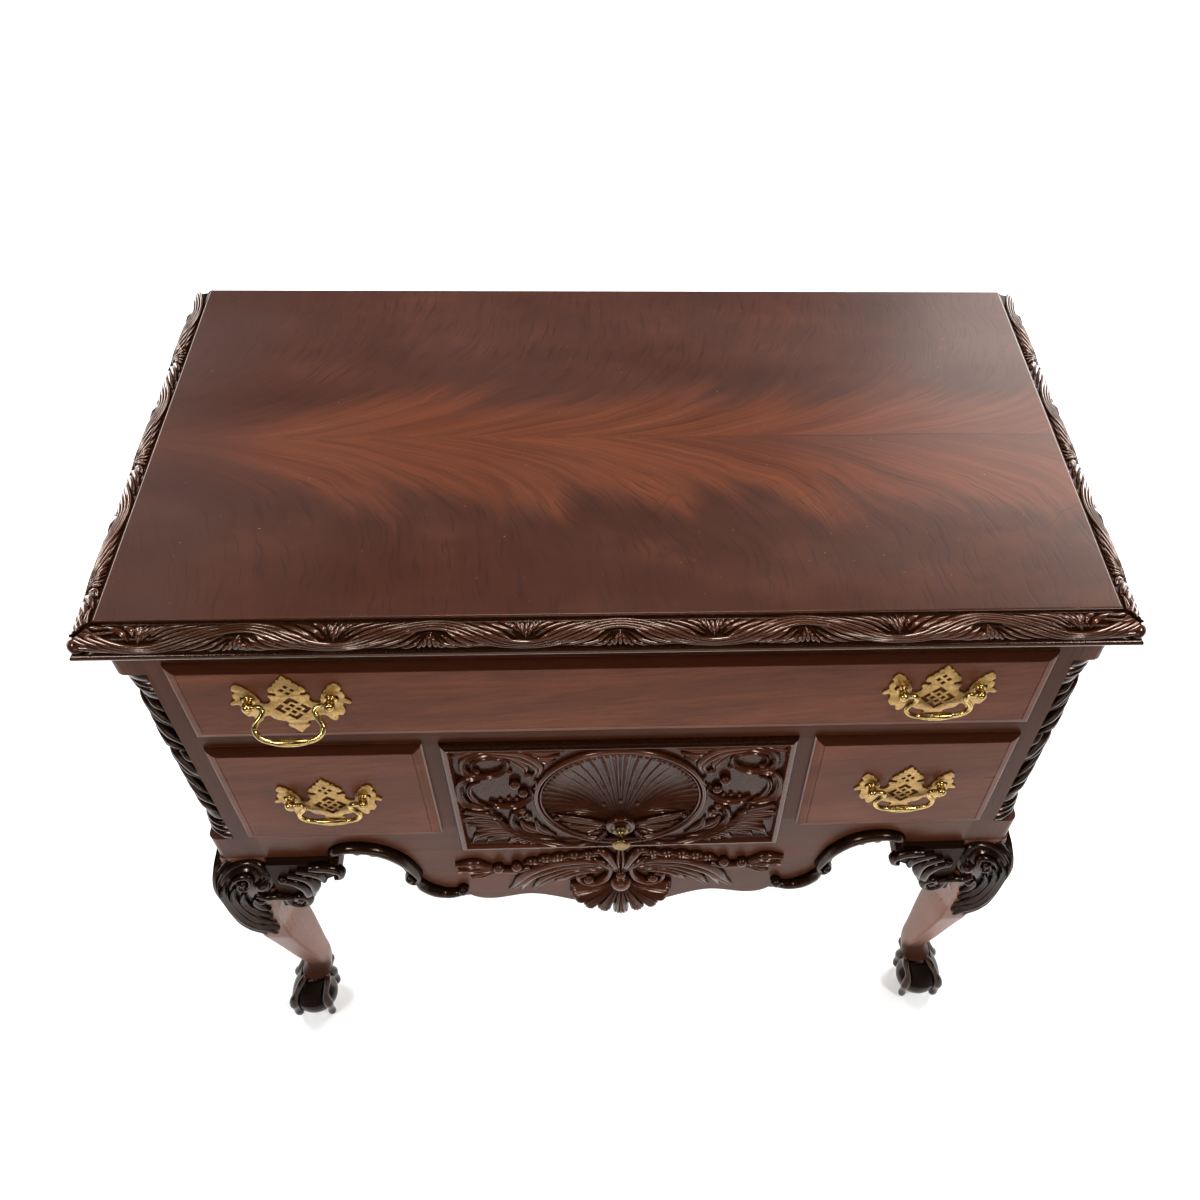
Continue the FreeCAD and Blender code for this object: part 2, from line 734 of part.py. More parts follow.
center_pieces = drawer(
    "center_drawer", "-center_half", "center_half", "center_low", "lower_high", [("0", "knob_z")]
)
dish = solid(
    center_pieces[0], "SubtractiveSphere", "dish",
    Radius="(dish_radius ^ 2 + dish_depth ^ 2) / (2 * dish_depth)",
    place_y=f"{DRAWER_FACE} - (dish_radius ^ 2 - dish_depth ^ 2) / (2 * dish_depth)", place_z="dish_z",
)
for piece, word in zip(center_pieces, PIECES):
    node(piece, "center_drawer_" + word)

# Pierced plate of a pull, about the middle of its posts: right half from the peak to the lower tip.
PLATE = [
    (0, 33),
    (4.5, 27.5), (8.5, 24), (7, 20.5), ((12.5, 22), (15.5, 17.5)), ((15.5, 13.5), (12, 12)),
    ((10.8, 8.2), (14, 7.6)), (17, 8), (19, 2), (23.5, -1), ((27, 1), (28.5, 6)),
    (33, 12.5), (38, 18), (46.5, 21), (45.5, 15.5), (48.5, 9.5), (45, 7.5), ((52.5, 3), (50, -7)),
    (42.5, -7.5), (41.5, -13), ((36, -21), (30.5, -27)),
    ((25, -26), (20, -28.5)), ((12, -29.5), (7, -29.5)), ((5.5, -37), (0, -43)),
]
SLOT = 4.6
HOLES_HIGH = 13
HOLES_LOW = -13.5
CHEVRON = 11


def diamond(x, z, reach):
    """Small square hole standing on its corner."""
    return [(x, z + reach), (x + reach, z), (x, z - reach), (x - reach, z), (x, z + reach)]


def chevron(x, z, turn):
    """Chevron slot of the middle lattice, pointing away from its center."""
    shape = [(-6.2, -3), (0, 3.2), (6.2, -3), (4.2, -5), (0, -0.8), (-4.2, -5), (-6.2, -3)]
    cos = math.cos(math.radians(turn))
    sin = math.sin(math.radians(turn))
    return [(x + a * cos - b * sin, z + a * sin + b * cos) for a, b in shape]


def flipped(steps):
    """The outline's other half, run back from the tip to the peak."""
    points = [step[1] if isinstance(step[0], tuple) else step for step in steps]
    back_steps = []
    for index in range(len(steps) - 1, 0, -1):
        x, z = points[index - 1]
        if isinstance(steps[index][0], tuple):
            middle_x, middle_z = steps[index][0]
            back_steps.append(((-middle_x, middle_z), (-x, z)))
        else:
            back_steps.append((-x, z))
    return back_steps


def pull_plate(name, x, z):
    """Pierced plate on the drawer face, at the left pull."""
    body = new_body(name)
    lines = curves(PLATE + flipped(PLATE))
    for level in (HOLES_HIGH, HOLES_LOW):
        for across, up in ((0, SLOT), (SLOT, 0), (0, -SLOT), (-SLOT, 0)):
            lines += curves(diamond(across, level + up, SLOT / 2))
    for turn in (0, 90, 180, 270):
        away = math.radians(turn)
        lines += curves(chevron(-CHEVRON * math.sin(away), HOLES_LOW + CHEVRON * math.cos(away), turn))
    for side in (-1, 1):
        lines += curves(diamond(side * 38.5, 10, 2.6))
        middle = FreeCAD.Vector(side * size("post_half"), 0, 0)
        lines.append(Part.Circle(middle, FreeCAD.Vector(0, 0, 1), size("bolt_bore")))
    pad(body, sketch_on(body, "XZ_Plane", lines), "plate_thick")
    bind(body, place_x=f"-{x}", place_y=DRAWER_FACE, place_z=z)
    return body


def pull_post(name, x, z, side):
    """Turned post with its bolt along -Y from the plate, drilled for the bail, and the nut inside."""
    body = new_body(name)
    reach = size("pull_post")
    head = size("post_head")
    bolt = size("bolt_radius")
    through = -(size("plate_thick") + size("lip_thick") + size("lip_gap") + size("front_thick") + 8)
    spin(body, [
        (0, through),
        (bolt, through),
        (bolt, 0),
        (5.2, 0),
        ((5.8, 0.9), (5.1, 1.8)),
        ((3.9, 2.5), (3.8, 3.4)),
        ((head - 0.3, reach - 2.4), (head, reach)),
        ((head * 0.75, reach + 3.4), (0, reach + 4.8)),
        (0, through),
    ], 360, "YZ_Plane")
    drill = solid(
        body, "SubtractiveCylinder", "pin", Radius="pin_bore", Height="post_head + 3",
        place_x=f"{-side} * (post_head + 1) / 2 - (post_head + 3) / 2",
        place_z="pull_post",
    )
    drill.Placement.Rotation = FreeCAD.Rotation(FreeCAD.Vector(0, 1, 0), 90)
    body.Placement.Rotation = FreeCAD.Rotation(FreeCAD.Vector(1, 0, 0), 90)
    bind(body, place_x=f"-{x} + {side} * post_half", place_y=DRAWER_FACE + " - plate_thick", place_z=z)
    nut = new_body(name + "_nut")
    turns = [math.radians(60 * k) for k in range(7)]
    wide = size("nut_radius")
    ring_lines = curves([(wide * math.cos(turn), wide * math.sin(turn)) for turn in turns])
    ring_lines.append(Part.Circle(FreeCAD.Vector(), FreeCAD.Vector(0, 0, 1), size("bolt_bore")))
    pad(nut, sketch_on(nut, "XZ_Plane", ring_lines), "nut_thick")
    bind(nut, place_x=f"-{x} + {side} * post_half", place_y=BLOCK_BACK + " + nut_thick", place_z=z)
    return [body, nut]


# Bail path: from the pin in the post, round the curl and down to the grip.
BAIL = [(-33, 0), (-26.5, 0), (-22.2, -2.8), (-23.8, -8), (-28, -13.5), (-29.4, -19.5), (-25, -26.5)]


def bail(name, x, z, angle):
    """Bail about its pivot line, hanging to -Z, then swung out by the angle."""
    body = new_body(name)
    drop = -size("bail_drop")
    path = BAIL + [(-12, drop + 0.6), (0, drop), (12, drop + 0.6)] + [(-x, y) for x, y in BAIL[::-1]]
    spine = sketch_on(body, "XZ_Plane", curves([path[0], path[1:]]))
    section = sketch_on(body, "YZ_Plane", [Part.Circle(
        FreeCAD.Vector(), FreeCAD.Vector(0, 0, 1), size("bail_wire")
    )], path[0][0])
    wire = body.newObject("PartDesign::AdditivePipe", name + "_wire")
    wire.Profile = section
    wire.Spine = (spine, ["Edge1"])
    grip = solid(
        body, "AdditiveEllipsoid", "grip", Radius1="5 * bail_grip", Radius2="bail_grip", Radius3="bail_grip",
        place_z="0.3 - bail_drop",
    )
    grip.Placement.Rotation = FreeCAD.Rotation(FreeCAD.Vector(0, 1, 0), 90)
    body.Placement.Rotation = FreeCAD.Rotation(FreeCAD.Vector(1, 0, 0), -angle)
    bind(body, place_x=f"-{x}", place_y=DRAWER_FACE + " - plate_thick - pull_post", place_z=z)
    return body


long_plate = pull_plate("long_plate", "long_pull_x", "long_pull_z")
node(group([long_plate, mirrored(long_plate, "long_plate_twin")], "long_plate_pair"), "long_drawer_plates")
long_posts = pull_post("long_post_outer", "long_pull_x", "long_pull_z", -1)
long_posts += pull_post("long_post_inner", "long_pull_x", "long_pull_z", 1)
long_posts += [mirrored(part, part.Name + "_twin") for part in long_posts]
node(group(long_posts, "long_post_set"), "long_drawer_posts")
node(bail("raised_bail", "long_pull_x", "long_pull_z", size("bail_raised")), "long_drawer_bail_left")
hanging = bail("hanging_bail", "long_pull_x", "long_pull_z", 0)
node(mirrored(hanging, "hanging_bail_twin"), "long_drawer_bail_right")

side_plate = pull_plate("side_plate", "side_pull_x", "side_pull_z")
side_posts = pull_post("side_post_outer", "side_pull_x", "side_pull_z", -1)
side_posts += pull_post("side_post_inner", "side_pull_x", "side_pull_z", 1)
side_bail = bail("side_bail", "side_pull_x", "side_pull_z", 0)
node(side_plate, "left_drawer_plate")
node(group(side_posts, "side_post_set"), "left_drawer_posts")
node(side_bail, "left_drawer_bail")
node(mirrored(side_plate, "side_plate_twin"), "right_drawer_plate")
twin_posts = [mirrored(part, part.Name + "_twin") for part in side_posts]
node(group(twin_posts, "side_post_twins"), "right_drawer_posts")
node(mirrored(side_bail, "side_bail_twin"), "right_drawer_bail")

# Brass knob on the hub of the carved shell.
knob = new_body("knob_body")
head = size("knob_head")
reach = size("knob_reach")
bolt = size("bolt_radius")
seat = -size("lip_thick")
through = -(size("lip_thick") + size("lip_gap") + size("front_thick") + 8)
spin(knob, [
    (0, through),
    (bolt, through),
    (bolt, seat),
    (bolt, 0.4),
    (7.5, 0.4),
    ((8.2, 1.6), (7.2, 3)),
    ((3.9, 7), (4.6, reach - 3.4)),
    (head - 1.4, reach - 2.2),
    ((head, reach - 0.4), (head - 1, reach + 1)),
    ((0.78 * head, reach + 1.9), (0.6 * head, reach + 2.2)),
    (0, reach + 2.2),
    (0, through),
], 360)
knob.Placement.Rotation = FreeCAD.Rotation(FreeCAD.Vector(1, 0, 0), 90)
bind(knob, place_y=DRAWER_FACE, place_z="knob_z")
knob_nut = new_body("knob_nut")
nut_lines = [
    Part.Circle(FreeCAD.Vector(), FreeCAD.Vector(0, 0, 1), radius)
    for radius in (size("nut_radius"), size("bolt_bore"))
]
pad(knob_nut, sketch_on(knob_nut, "XZ_Plane", nut_lines), "nut_thick")
bind(knob_nut, place_y=BLOCK_BACK + " + nut_thick", place_z="knob_z")
node(group([knob, knob_nut], "knob_set"), "center_drawer_knob")

doc.recompute()
for item in doc.Objects:
    if "Invalid" in item.State or "Error" in item.State:
        raise RuntimeError(f"{item.Name} did not build: {item.State}")
os.makedirs("parts", exist_ok=True)
for item in NODES:
    shape = item.Shape
    if shape.isNull() or not shape.isValid():
        raise RuntimeError(f"{item.Label} has no valid shape")
    shape.exportStep(f"parts/{item.Label}.step")
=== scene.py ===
import math

import bmesh
import bpy
import numpy as np
from mathutils import Matrix


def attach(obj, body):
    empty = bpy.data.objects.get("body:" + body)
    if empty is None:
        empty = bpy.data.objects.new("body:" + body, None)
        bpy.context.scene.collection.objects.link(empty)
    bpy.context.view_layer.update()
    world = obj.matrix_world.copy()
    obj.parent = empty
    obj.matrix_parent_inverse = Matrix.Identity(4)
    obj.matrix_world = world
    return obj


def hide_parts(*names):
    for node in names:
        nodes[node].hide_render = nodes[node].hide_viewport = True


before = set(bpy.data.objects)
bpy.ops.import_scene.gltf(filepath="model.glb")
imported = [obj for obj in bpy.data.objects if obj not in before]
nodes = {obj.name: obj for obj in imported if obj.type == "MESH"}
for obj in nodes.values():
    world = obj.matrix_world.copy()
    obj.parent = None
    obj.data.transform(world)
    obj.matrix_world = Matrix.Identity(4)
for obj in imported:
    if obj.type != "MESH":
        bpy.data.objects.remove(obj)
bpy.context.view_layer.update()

MM = 0.001


# Surfaces. Lengths are in millimetres. Every surface is a row of closed rings: (row, point, (u, v, h, painted
# shade)), where u and v lie on the piece's own face, h stands out of it and the painted shade darkens the colour in
# the cuts; below 0 it is a painted highlight that lightens it.


def path_through(points, count):
    """Smooth path through points: a Catmull-Rom cubic between neighbours, read at even steps of its length."""
    p = np.asarray(points, float)
    spans = len(p) - 1
    p = np.vstack([2 * p[0] - p[1], p, 2 * p[-1] - p[-2]])
    s = np.linspace(0, spans, 30 * spans + 1)
    k = np.minimum(s.astype(int), spans - 1)
    t = (s - k)[:, None]
    a, b, c, d = p[k], p[k + 1], p[k + 2], p[k + 3]
    fine = 0.5 * (2 * b + (c - a) * t + (2 * a - 5 * b + 4 * c - d) * t**2 + (3 * b - a - 3 * c + d) * t**3)
    run = np.concatenate([[0], np.cumsum(np.linalg.norm(np.diff(fine, axis=0), axis=1))])
    at = np.linspace(0, run[-1], count)
    return np.stack([np.interp(at, run, fine[:, i]) for i in range(p.shape[1])], 1)


def along(values, count):
    """Values spread evenly over a path, with an eased (cosine) step from each to the next."""
    values = np.asarray(values, float)
    s = np.linspace(0, len(values) - 1, count)
    k = np.minimum(s.astype(int), max(len(values) - 2, 0))
    if len(values) == 1:
        return np.full(count, values[0])
    t = 0.5 - 0.5 * np.cos(np.pi * (s - k))
    return values[k] * (1 - t) + values[k + 1] * t


def cut_section(rise, steps=11, sink=0.5):
    """Closed stroke section: rise(a) over a from 1 to -1 across the stroke, then two points sunk in the ground."""
    a = np.linspace(1, -1, steps)
    top = np.stack([a, rise(a)], 1)
    return np.vstack([top, [(-0.96, -sink), (0.96, -sink)]])


ROUND = cut_section(lambda a: np.sqrt(np.clip(1 - a**2, 0, 1)))
LEAF = cut_section(lambda a: np.sqrt(np.clip(1 - a**2, 0, 1)) * (1 - 0.42 * np.exp(-((a / 0.2) ** 2))), 15)
SCOOP = cut_section(lambda a: np.where(abs(a) > 0.72, np.sqrt(np.clip(1 - ((abs(a) - 0.72) / 0.28) ** 2, 0, 1)),
                                       0.5 + 0.5 * (a / 0.72) ** 2), 15)
SCALLOP = cut_section(lambda a: np.clip(1 - a**2, 0, 1) ** 0.36 * (0.90 + 0.10 * np.cos(5 * np.pi * a)), 29)
KNEE_PLATE = cut_section(lambda a: np.clip(8 * (1 - abs(a)), 0, 1) ** 0.5, 61, 0.0)


def stroke(points, wide, high, section=ROUND, count=22, base=0.0):
    """Carved stroke: the section carried along a smooth path on the face, with its width and height eased
    along it. Its painted shade falls from 1 at the foot to 0 at the crest."""
    c = path_through(points, count)
    t = np.gradient(c, axis=0)
    t /= np.maximum(np.linalg.norm(t, axis=1), 1e-9)[:, None]
    side = np.stack([-t[:, 1], t[:, 0]], 1)
    w = along(wide, count)[:, None] / 2
    h = along(high, count)[:, None]
    uv = c[:, None] + side[:, None] * (section[None, :, :1] * w[..., None])
    lift = base + section[None, :, 1] * h
    # Painted shade across the stroke: 1 at its foot, 0 at its crest.
    painted_shade_and_highlight = np.broadcast_to(np.clip(1 - section[None, :, 1], 0, 1), lift.shape)
    return np.concatenate([uv, lift[..., None], painted_shade_and_highlight[..., None]], 2)


def ball(u, v, radius, base=0.0, lift=0.45, rows=9, turns=14):
    """Carved ball: circles about its axis out of the face, from the foot to the top, its middle at lift radii."""
    phi = np.linspace(0.06, np.pi - 0.04, rows)[:, None]
    theta = np.linspace(0, 2 * np.pi, turns, endpoint=False)[None]
    x = u + radius * np.sin(phi) * np.cos(theta)
    y = v + radius * np.sin(phi) * np.sin(theta)
    z = base + radius * (lift - np.cos(phi)) + 0 * theta
    # The fourth value is painted shade: dark at the foot of the ball, none at its top.
    return np.stack([x, y, z, np.clip(0.75 + 0.75 * np.cos(phi), 0, 1) + 0 * theta], 2)


def flipped(rings):
    """The same rings on the other side of u = 0."""
    return rings * np.array([-1, 1, 1, 1])


class Piece:
    """One mesh made of closed rings of points, each placed on the piece's surface by its own function."""

    def __init__(self, name):
        self.name = name
        self.points, self.quads, self.tris, self.painted_shade_and_highlight = [], [], [], []
        self.total = 0

    def add(self, rings, place, looped=False):
        """Rows of rings joined by quads; the two ends are closed on their middles unless the rows loop round.
        A surface that encloses a negative volume is turned the other way round."""
        rows, around = rings.shape[:2]
        xyz = place(rings[..., :3]).reshape(-1, 3)
        painted_shade_and_highlight = rings[..., 3].reshape(-1)
        i = np.arange(rows if looped else rows - 1)[:, None]
        j = np.arange(around)[None]
        a, b = i * around + j, i * around + (j + 1) % around
        c, d = (i + 1) % rows * around + (j + 1) % around, (i + 1) % rows * around + j
        quads = np.stack([a, b, c, d], 2).reshape(-1, 4)
        tris = np.zeros((0, 3), int)
        if not looped:
            ends = [xyz[:around].mean(0), xyz[-around:].mean(0)]
            xyz = np.vstack([xyz, ends])
            painted_shade_and_highlight = np.append(painted_shade_and_highlight, [painted_shade_and_highlight[:around].mean(), painted_shade_and_highlight[-around:].mean()])
            first, last = rows * around, rows * around + 1
            k = np.arange(around)
            turn = (k + 1) % around
            start = np.stack([turn, k, np.full(around, first)], 1)
            stop = np.stack([k, turn, np.full(around, last)], 1)
            stop[:, :2] += (rows - 1) * around
            tris = np.vstack([start, stop])
        every = np.vstack([quads[:, [0, 1, 2]], quads[:, [0, 2, 3]], tris])
        middle = xyz.mean(0)
        p, q, r = (xyz[every[:, n]] - middle for n in range(3))
        if np.einsum("ij,ij->i", p, np.cross(q, r)).sum() < 0:
            quads, tris = quads[:, ::-1], tris[:, ::-1]
        self.points.append(xyz)
        self.painted_shade_and_highlight.append(painted_shade_and_highlight)
        self.quads.append(quads + self.total)
        self.tris.append(tris + self.total)
        self.total += len(xyz)
        return self

    def both(self, rings, place):
        """The rings and their mirror image."""
        return self.add(rings, place).add(flipped(rings), place)

    def finish(self, body, slot, material, stands_for=(), sharp=50):
        """The mesh, in metres, smooth except over edges sharper than the given angle, riding on its body."""
        mesh = bpy.data.meshes.new(self.name)
        faces = np.vstack(self.quads).tolist() + np.vstack(self.tris).tolist()
        mesh.from_pydata((np.vstack(self.points) * MM).tolist(), [], faces)
        mesh.update()
        # Each point keeps its painted shade (below 0, a painted highlight) for the finish to darken or lighten the
        # colour.
        mesh.attributes.new("painted_shade_and_highlight", "FLOAT", "POINT").data.foreach_set("value", np.concatenate(self.painted_shade_and_highlight))
        mesh.polygons.foreach_set("use_smooth", np.ones(len(mesh.polygons), bool))
        mesh.set_sharp_from_angle(angle=math.radians(sharp))
        mesh.materials.append(material)
        obj = bpy.data.objects.new(self.name, mesh)
        bpy.context.collection.objects.link(obj)
        if stands_for:
            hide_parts(*stands_for)
        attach(obj, body)


def on_front(y):
    """Face that looks to the front: u to the right, v up, h towards the front."""
    return lambda p: np.stack([p[..., 0], y - p[..., 2], p[..., 1]], -1)


# Finishes. Each is a node material on object coordinates, in metres.


class Finish:
    """Node material. Each call adds one node and returns its output."""

    def __init__(self, name, **shader):
        self.material = bpy.data.materials.new(name)
        self.material.use_nodes = True
        self.tree = self.material.node_tree
        self.shader = self.tree.nodes["Principled BSDF"]
        for socket, value in shader.items():
            self.shader.inputs[socket.replace("_", " ")].default_value = value
        self.object = self.tree.nodes.new("ShaderNodeTexCoord").outputs["Object"]

    def set(self, socket, source):
        """Feeds a socket from an output, or sets its number."""
        if isinstance(source, bpy.types.NodeSocket):
            self.tree.links.new(source, socket)
        else:
            socket.default_value = source

    def mapped(self, scale=(1, 1, 1), turn=(0, 0, 0), source=None):
        """Coordinates turned (degrees) and scaled."""
        node = self.tree.nodes.new("ShaderNodeMapping")
        self.set(node.inputs["Vector"], source or self.object)
        node.inputs["Rotation"].default_value = [math.radians(a) for a in turn]
        node.inputs["Scale"].default_value = scale
        return node.outputs["Vector"]

    def noise(self, at, scale, detail=3.0, rough=0.5, bend=0.0):
        """Cloudy noise, 0 to 1."""
        node = self.tree.nodes.new("ShaderNodeTexNoise")
        self.set(node.inputs["Vector"], at)
        node.inputs["Scale"].default_value = scale
        node.inputs["Detail"].default_value = detail
        node.inputs["Roughness"].default_value = rough
        node.inputs["Distortion"].default_value = bend
        return node.outputs["Fac"]

    def step(self, operation, a, b=0.0, c=0.0):
        """One arithmetic step."""
        node = self.tree.nodes.new("ShaderNodeMath")
        node.operation = operation
        for socket, source in zip(node.inputs, (a, b, c)):
            self.set(socket, source)
        return node.outputs[0]

    def times(self, a, b, plus=None):
        """a times b, and plus a third value where one is given."""
        return self.step("MULTIPLY", a, b) if plus is None else self.step("MULTIPLY_ADD", a, b, plus)

    def plus(self, a, b):
        """a plus b."""
        return self.step("ADD", a, b)

    def minus(self, a, b):
        """a less b."""
        return self.step("SUBTRACT", a, b)

    def spread(self, value, low, high, to_low=0.0, to_high=1.0):
        """Value stretched from one range to another and held inside it, with eased ends."""
        node = self.tree.nodes.new("ShaderNodeMapRange")
        node.interpolation_type = "SMOOTHSTEP"
        for socket, source in zip(node.inputs, (value, low, high, to_low, to_high)):
            self.set(socket, source)
        return node.outputs[0]

    def ramp(self, value, *stops):
        """Colours along a value: (place, (red, green, blue)) stops."""
        node = self.tree.nodes.new("ShaderNodeValToRGB")
        self.set(node.inputs["Fac"], value)
        elements = node.color_ramp.elements
        for _ in stops[2:]:
            elements.new(0.5)
        for element, (place, colour) in zip(elements, stops):
            element.position = place
            element.color = (*colour, 1)
        return node.outputs["Color"]

    def blend(self, fraction, a, b):
        """Two colours mixed."""
        node = self.tree.nodes.new("ShaderNodeMix")
        node.data_type = "RGBA"
        self.set(node.inputs["Factor"], fraction)
        colours = [s for s in node.inputs if s.type == "RGBA"]
        for socket, source in zip(colours, (a, b)):
            self.set(socket, source if isinstance(source, bpy.types.NodeSocket) else (*source, 1))
        return [s for s in node.outputs if s.type == "RGBA"][0]

    def parts(self, vector):
        """x, y and z of a vector."""
        node = self.tree.nodes.new("ShaderNodeSeparateXYZ")
        self.set(node.inputs[0], vector)
        return node.outputs

    def joined(self, x, y, z=0.0):
        """A vector of three values."""
        node = self.tree.nodes.new("ShaderNodeCombineXYZ")
        for socket, source in zip(node.inputs, (x, y, z)):
            self.set(socket, source)
        return node.outputs[0]

    def attribute(self, name):
        """A value kept on the mesh's points."""
        node = self.tree.nodes.new("ShaderNodeAttribute")
        node.attribute_name = name
        return node.outputs["Fac"]

    def bump(self, height, strength, depth):
        """Fine relief of the surface, depth in metres."""
        node = self.tree.nodes.new("ShaderNodeBump")
        node.inputs["Strength"].default_value = strength
        node.inputs["Distance"].default_value = depth
        self.set(node.inputs["Height"], height)
        self.set(self.shader.inputs["Normal"], node.outputs["Normal"])

    def colour(self, source):
        """The base colour."""
        self.set(self.shader.inputs["Base Color"], source)

    def roughness(self, source):
        """The roughness."""
        self.set(self.shader.inputs["Roughness"], source)


# Tint of the old polish, and the paler brown of the painted highlight along lip edges.
AMBER, EDGE_HIGHLIGHT = (1.0, 0.72, 0.58, 1.0), (0.42, 0.32, 0.28)
GRAIN_TURN = {"x": (0, 0, 0), "y": (0, 0, 90), "z": (0, 90, 0)}


def mahogany(name, grain, tones, lean=0.0, rough=0.32, coat=0.0, gloss=0.4, carved=0.0, dotted=1.0):
    """Polished mahogany: broad bands and fine streaks drawn out along the grain, dark open pores as short dashes,
    a slow change of tone from place to place, and, on carved pieces, a dull, stippled ground in the cuts, darkened
    there by painted shade. Where the painted shade is below 0, along the lip edges, a painted highlight makes it a
    paler brown."""
    dark, mid, light = tones
    f = Finish(name, Coat_Weight=coat, Coat_Roughness=0.12, Specular_IOR_Level=gloss, Specular_Tint=AMBER)
    turned = f.mapped(turn=GRAIN_TURN[grain])
    leaning = f.mapped(turn=(0, lean, lean), source=turned)
    bands = f.noise(f.mapped((2.2, 26, 26), source=leaning), 1.0, 4, 0.55, 0.6)
    streaks = f.noise(f.mapped((9, 260, 260), source=leaning), 1.0, 3, 0.6)
    clouds = f.noise(f.mapped((3.5, 5, 5)), 1.0, 2, 0.5)
    dashes = f.noise(f.mapped((45, 1500, 1500), source=leaning), 1.0, 2, 0.5)
    tone = f.times(streaks, 0.42, f.times(bands, 0.75, f.times(clouds, 0.3)))
    wood = f.ramp(tone, (0.45, dark), (0.72, mid), (0.98, light))
    pores = f.spread(dashes, 0.58, 0.70)
    wood = f.blend(f.times(pores, 0.38), wood, tuple(0.45 * c for c in dark))
    grit = 0.0
    if carved:
        painted_shade_and_highlight = f.attribute("painted_shade_and_highlight")
        # Painted shade: where the point's painted shade is high, the colour is blended to a darker brown and the
        # gloss falls.
        cut = f.spread(painted_shade_and_highlight, 0.15, 0.9, 0.0, carved)
        dots = f.noise(f.mapped(), 520.0, 1.0)
        grit = f.times(dots, f.times(cut, 7.0 * dotted))
        wood = f.blend(cut, wood, tuple(0.26 * c for c in mid))
        stipple = f.times(f.spread(dots, 0.46, 0.60, 0.0, 0.6 * dotted), cut)
        wood = f.blend(stipple, wood, tuple(0.05 * c for c in mid))
        # Painted highlight: below 0 the colour is blended to a paler brown along the lip edges.
        wood = f.blend(f.spread(painted_shade_and_highlight, -0.1, -0.9, 0.0, 0.8), wood, EDGE_HIGHLIGHT)
        f.set(f.shader.inputs["Specular IOR Level"], f.times(cut, -gloss, gloss))
        if coat:
            f.set(f.shader.inputs["Coat Weight"], f.times(cut, -coat, coat))
    f.colour(wood)
    sheen = f.plus(f.times(streaks, 0.5), f.times(clouds, 0.5))
    f.roughness(f.spread(sheen, 0.3, 0.7, rough - 0.05, rough + 0.07))
    f.bump(f.plus(grit, f.minus(f.times(streaks, 0.35), pores)), 0.12, 0.0003)
    return f.material


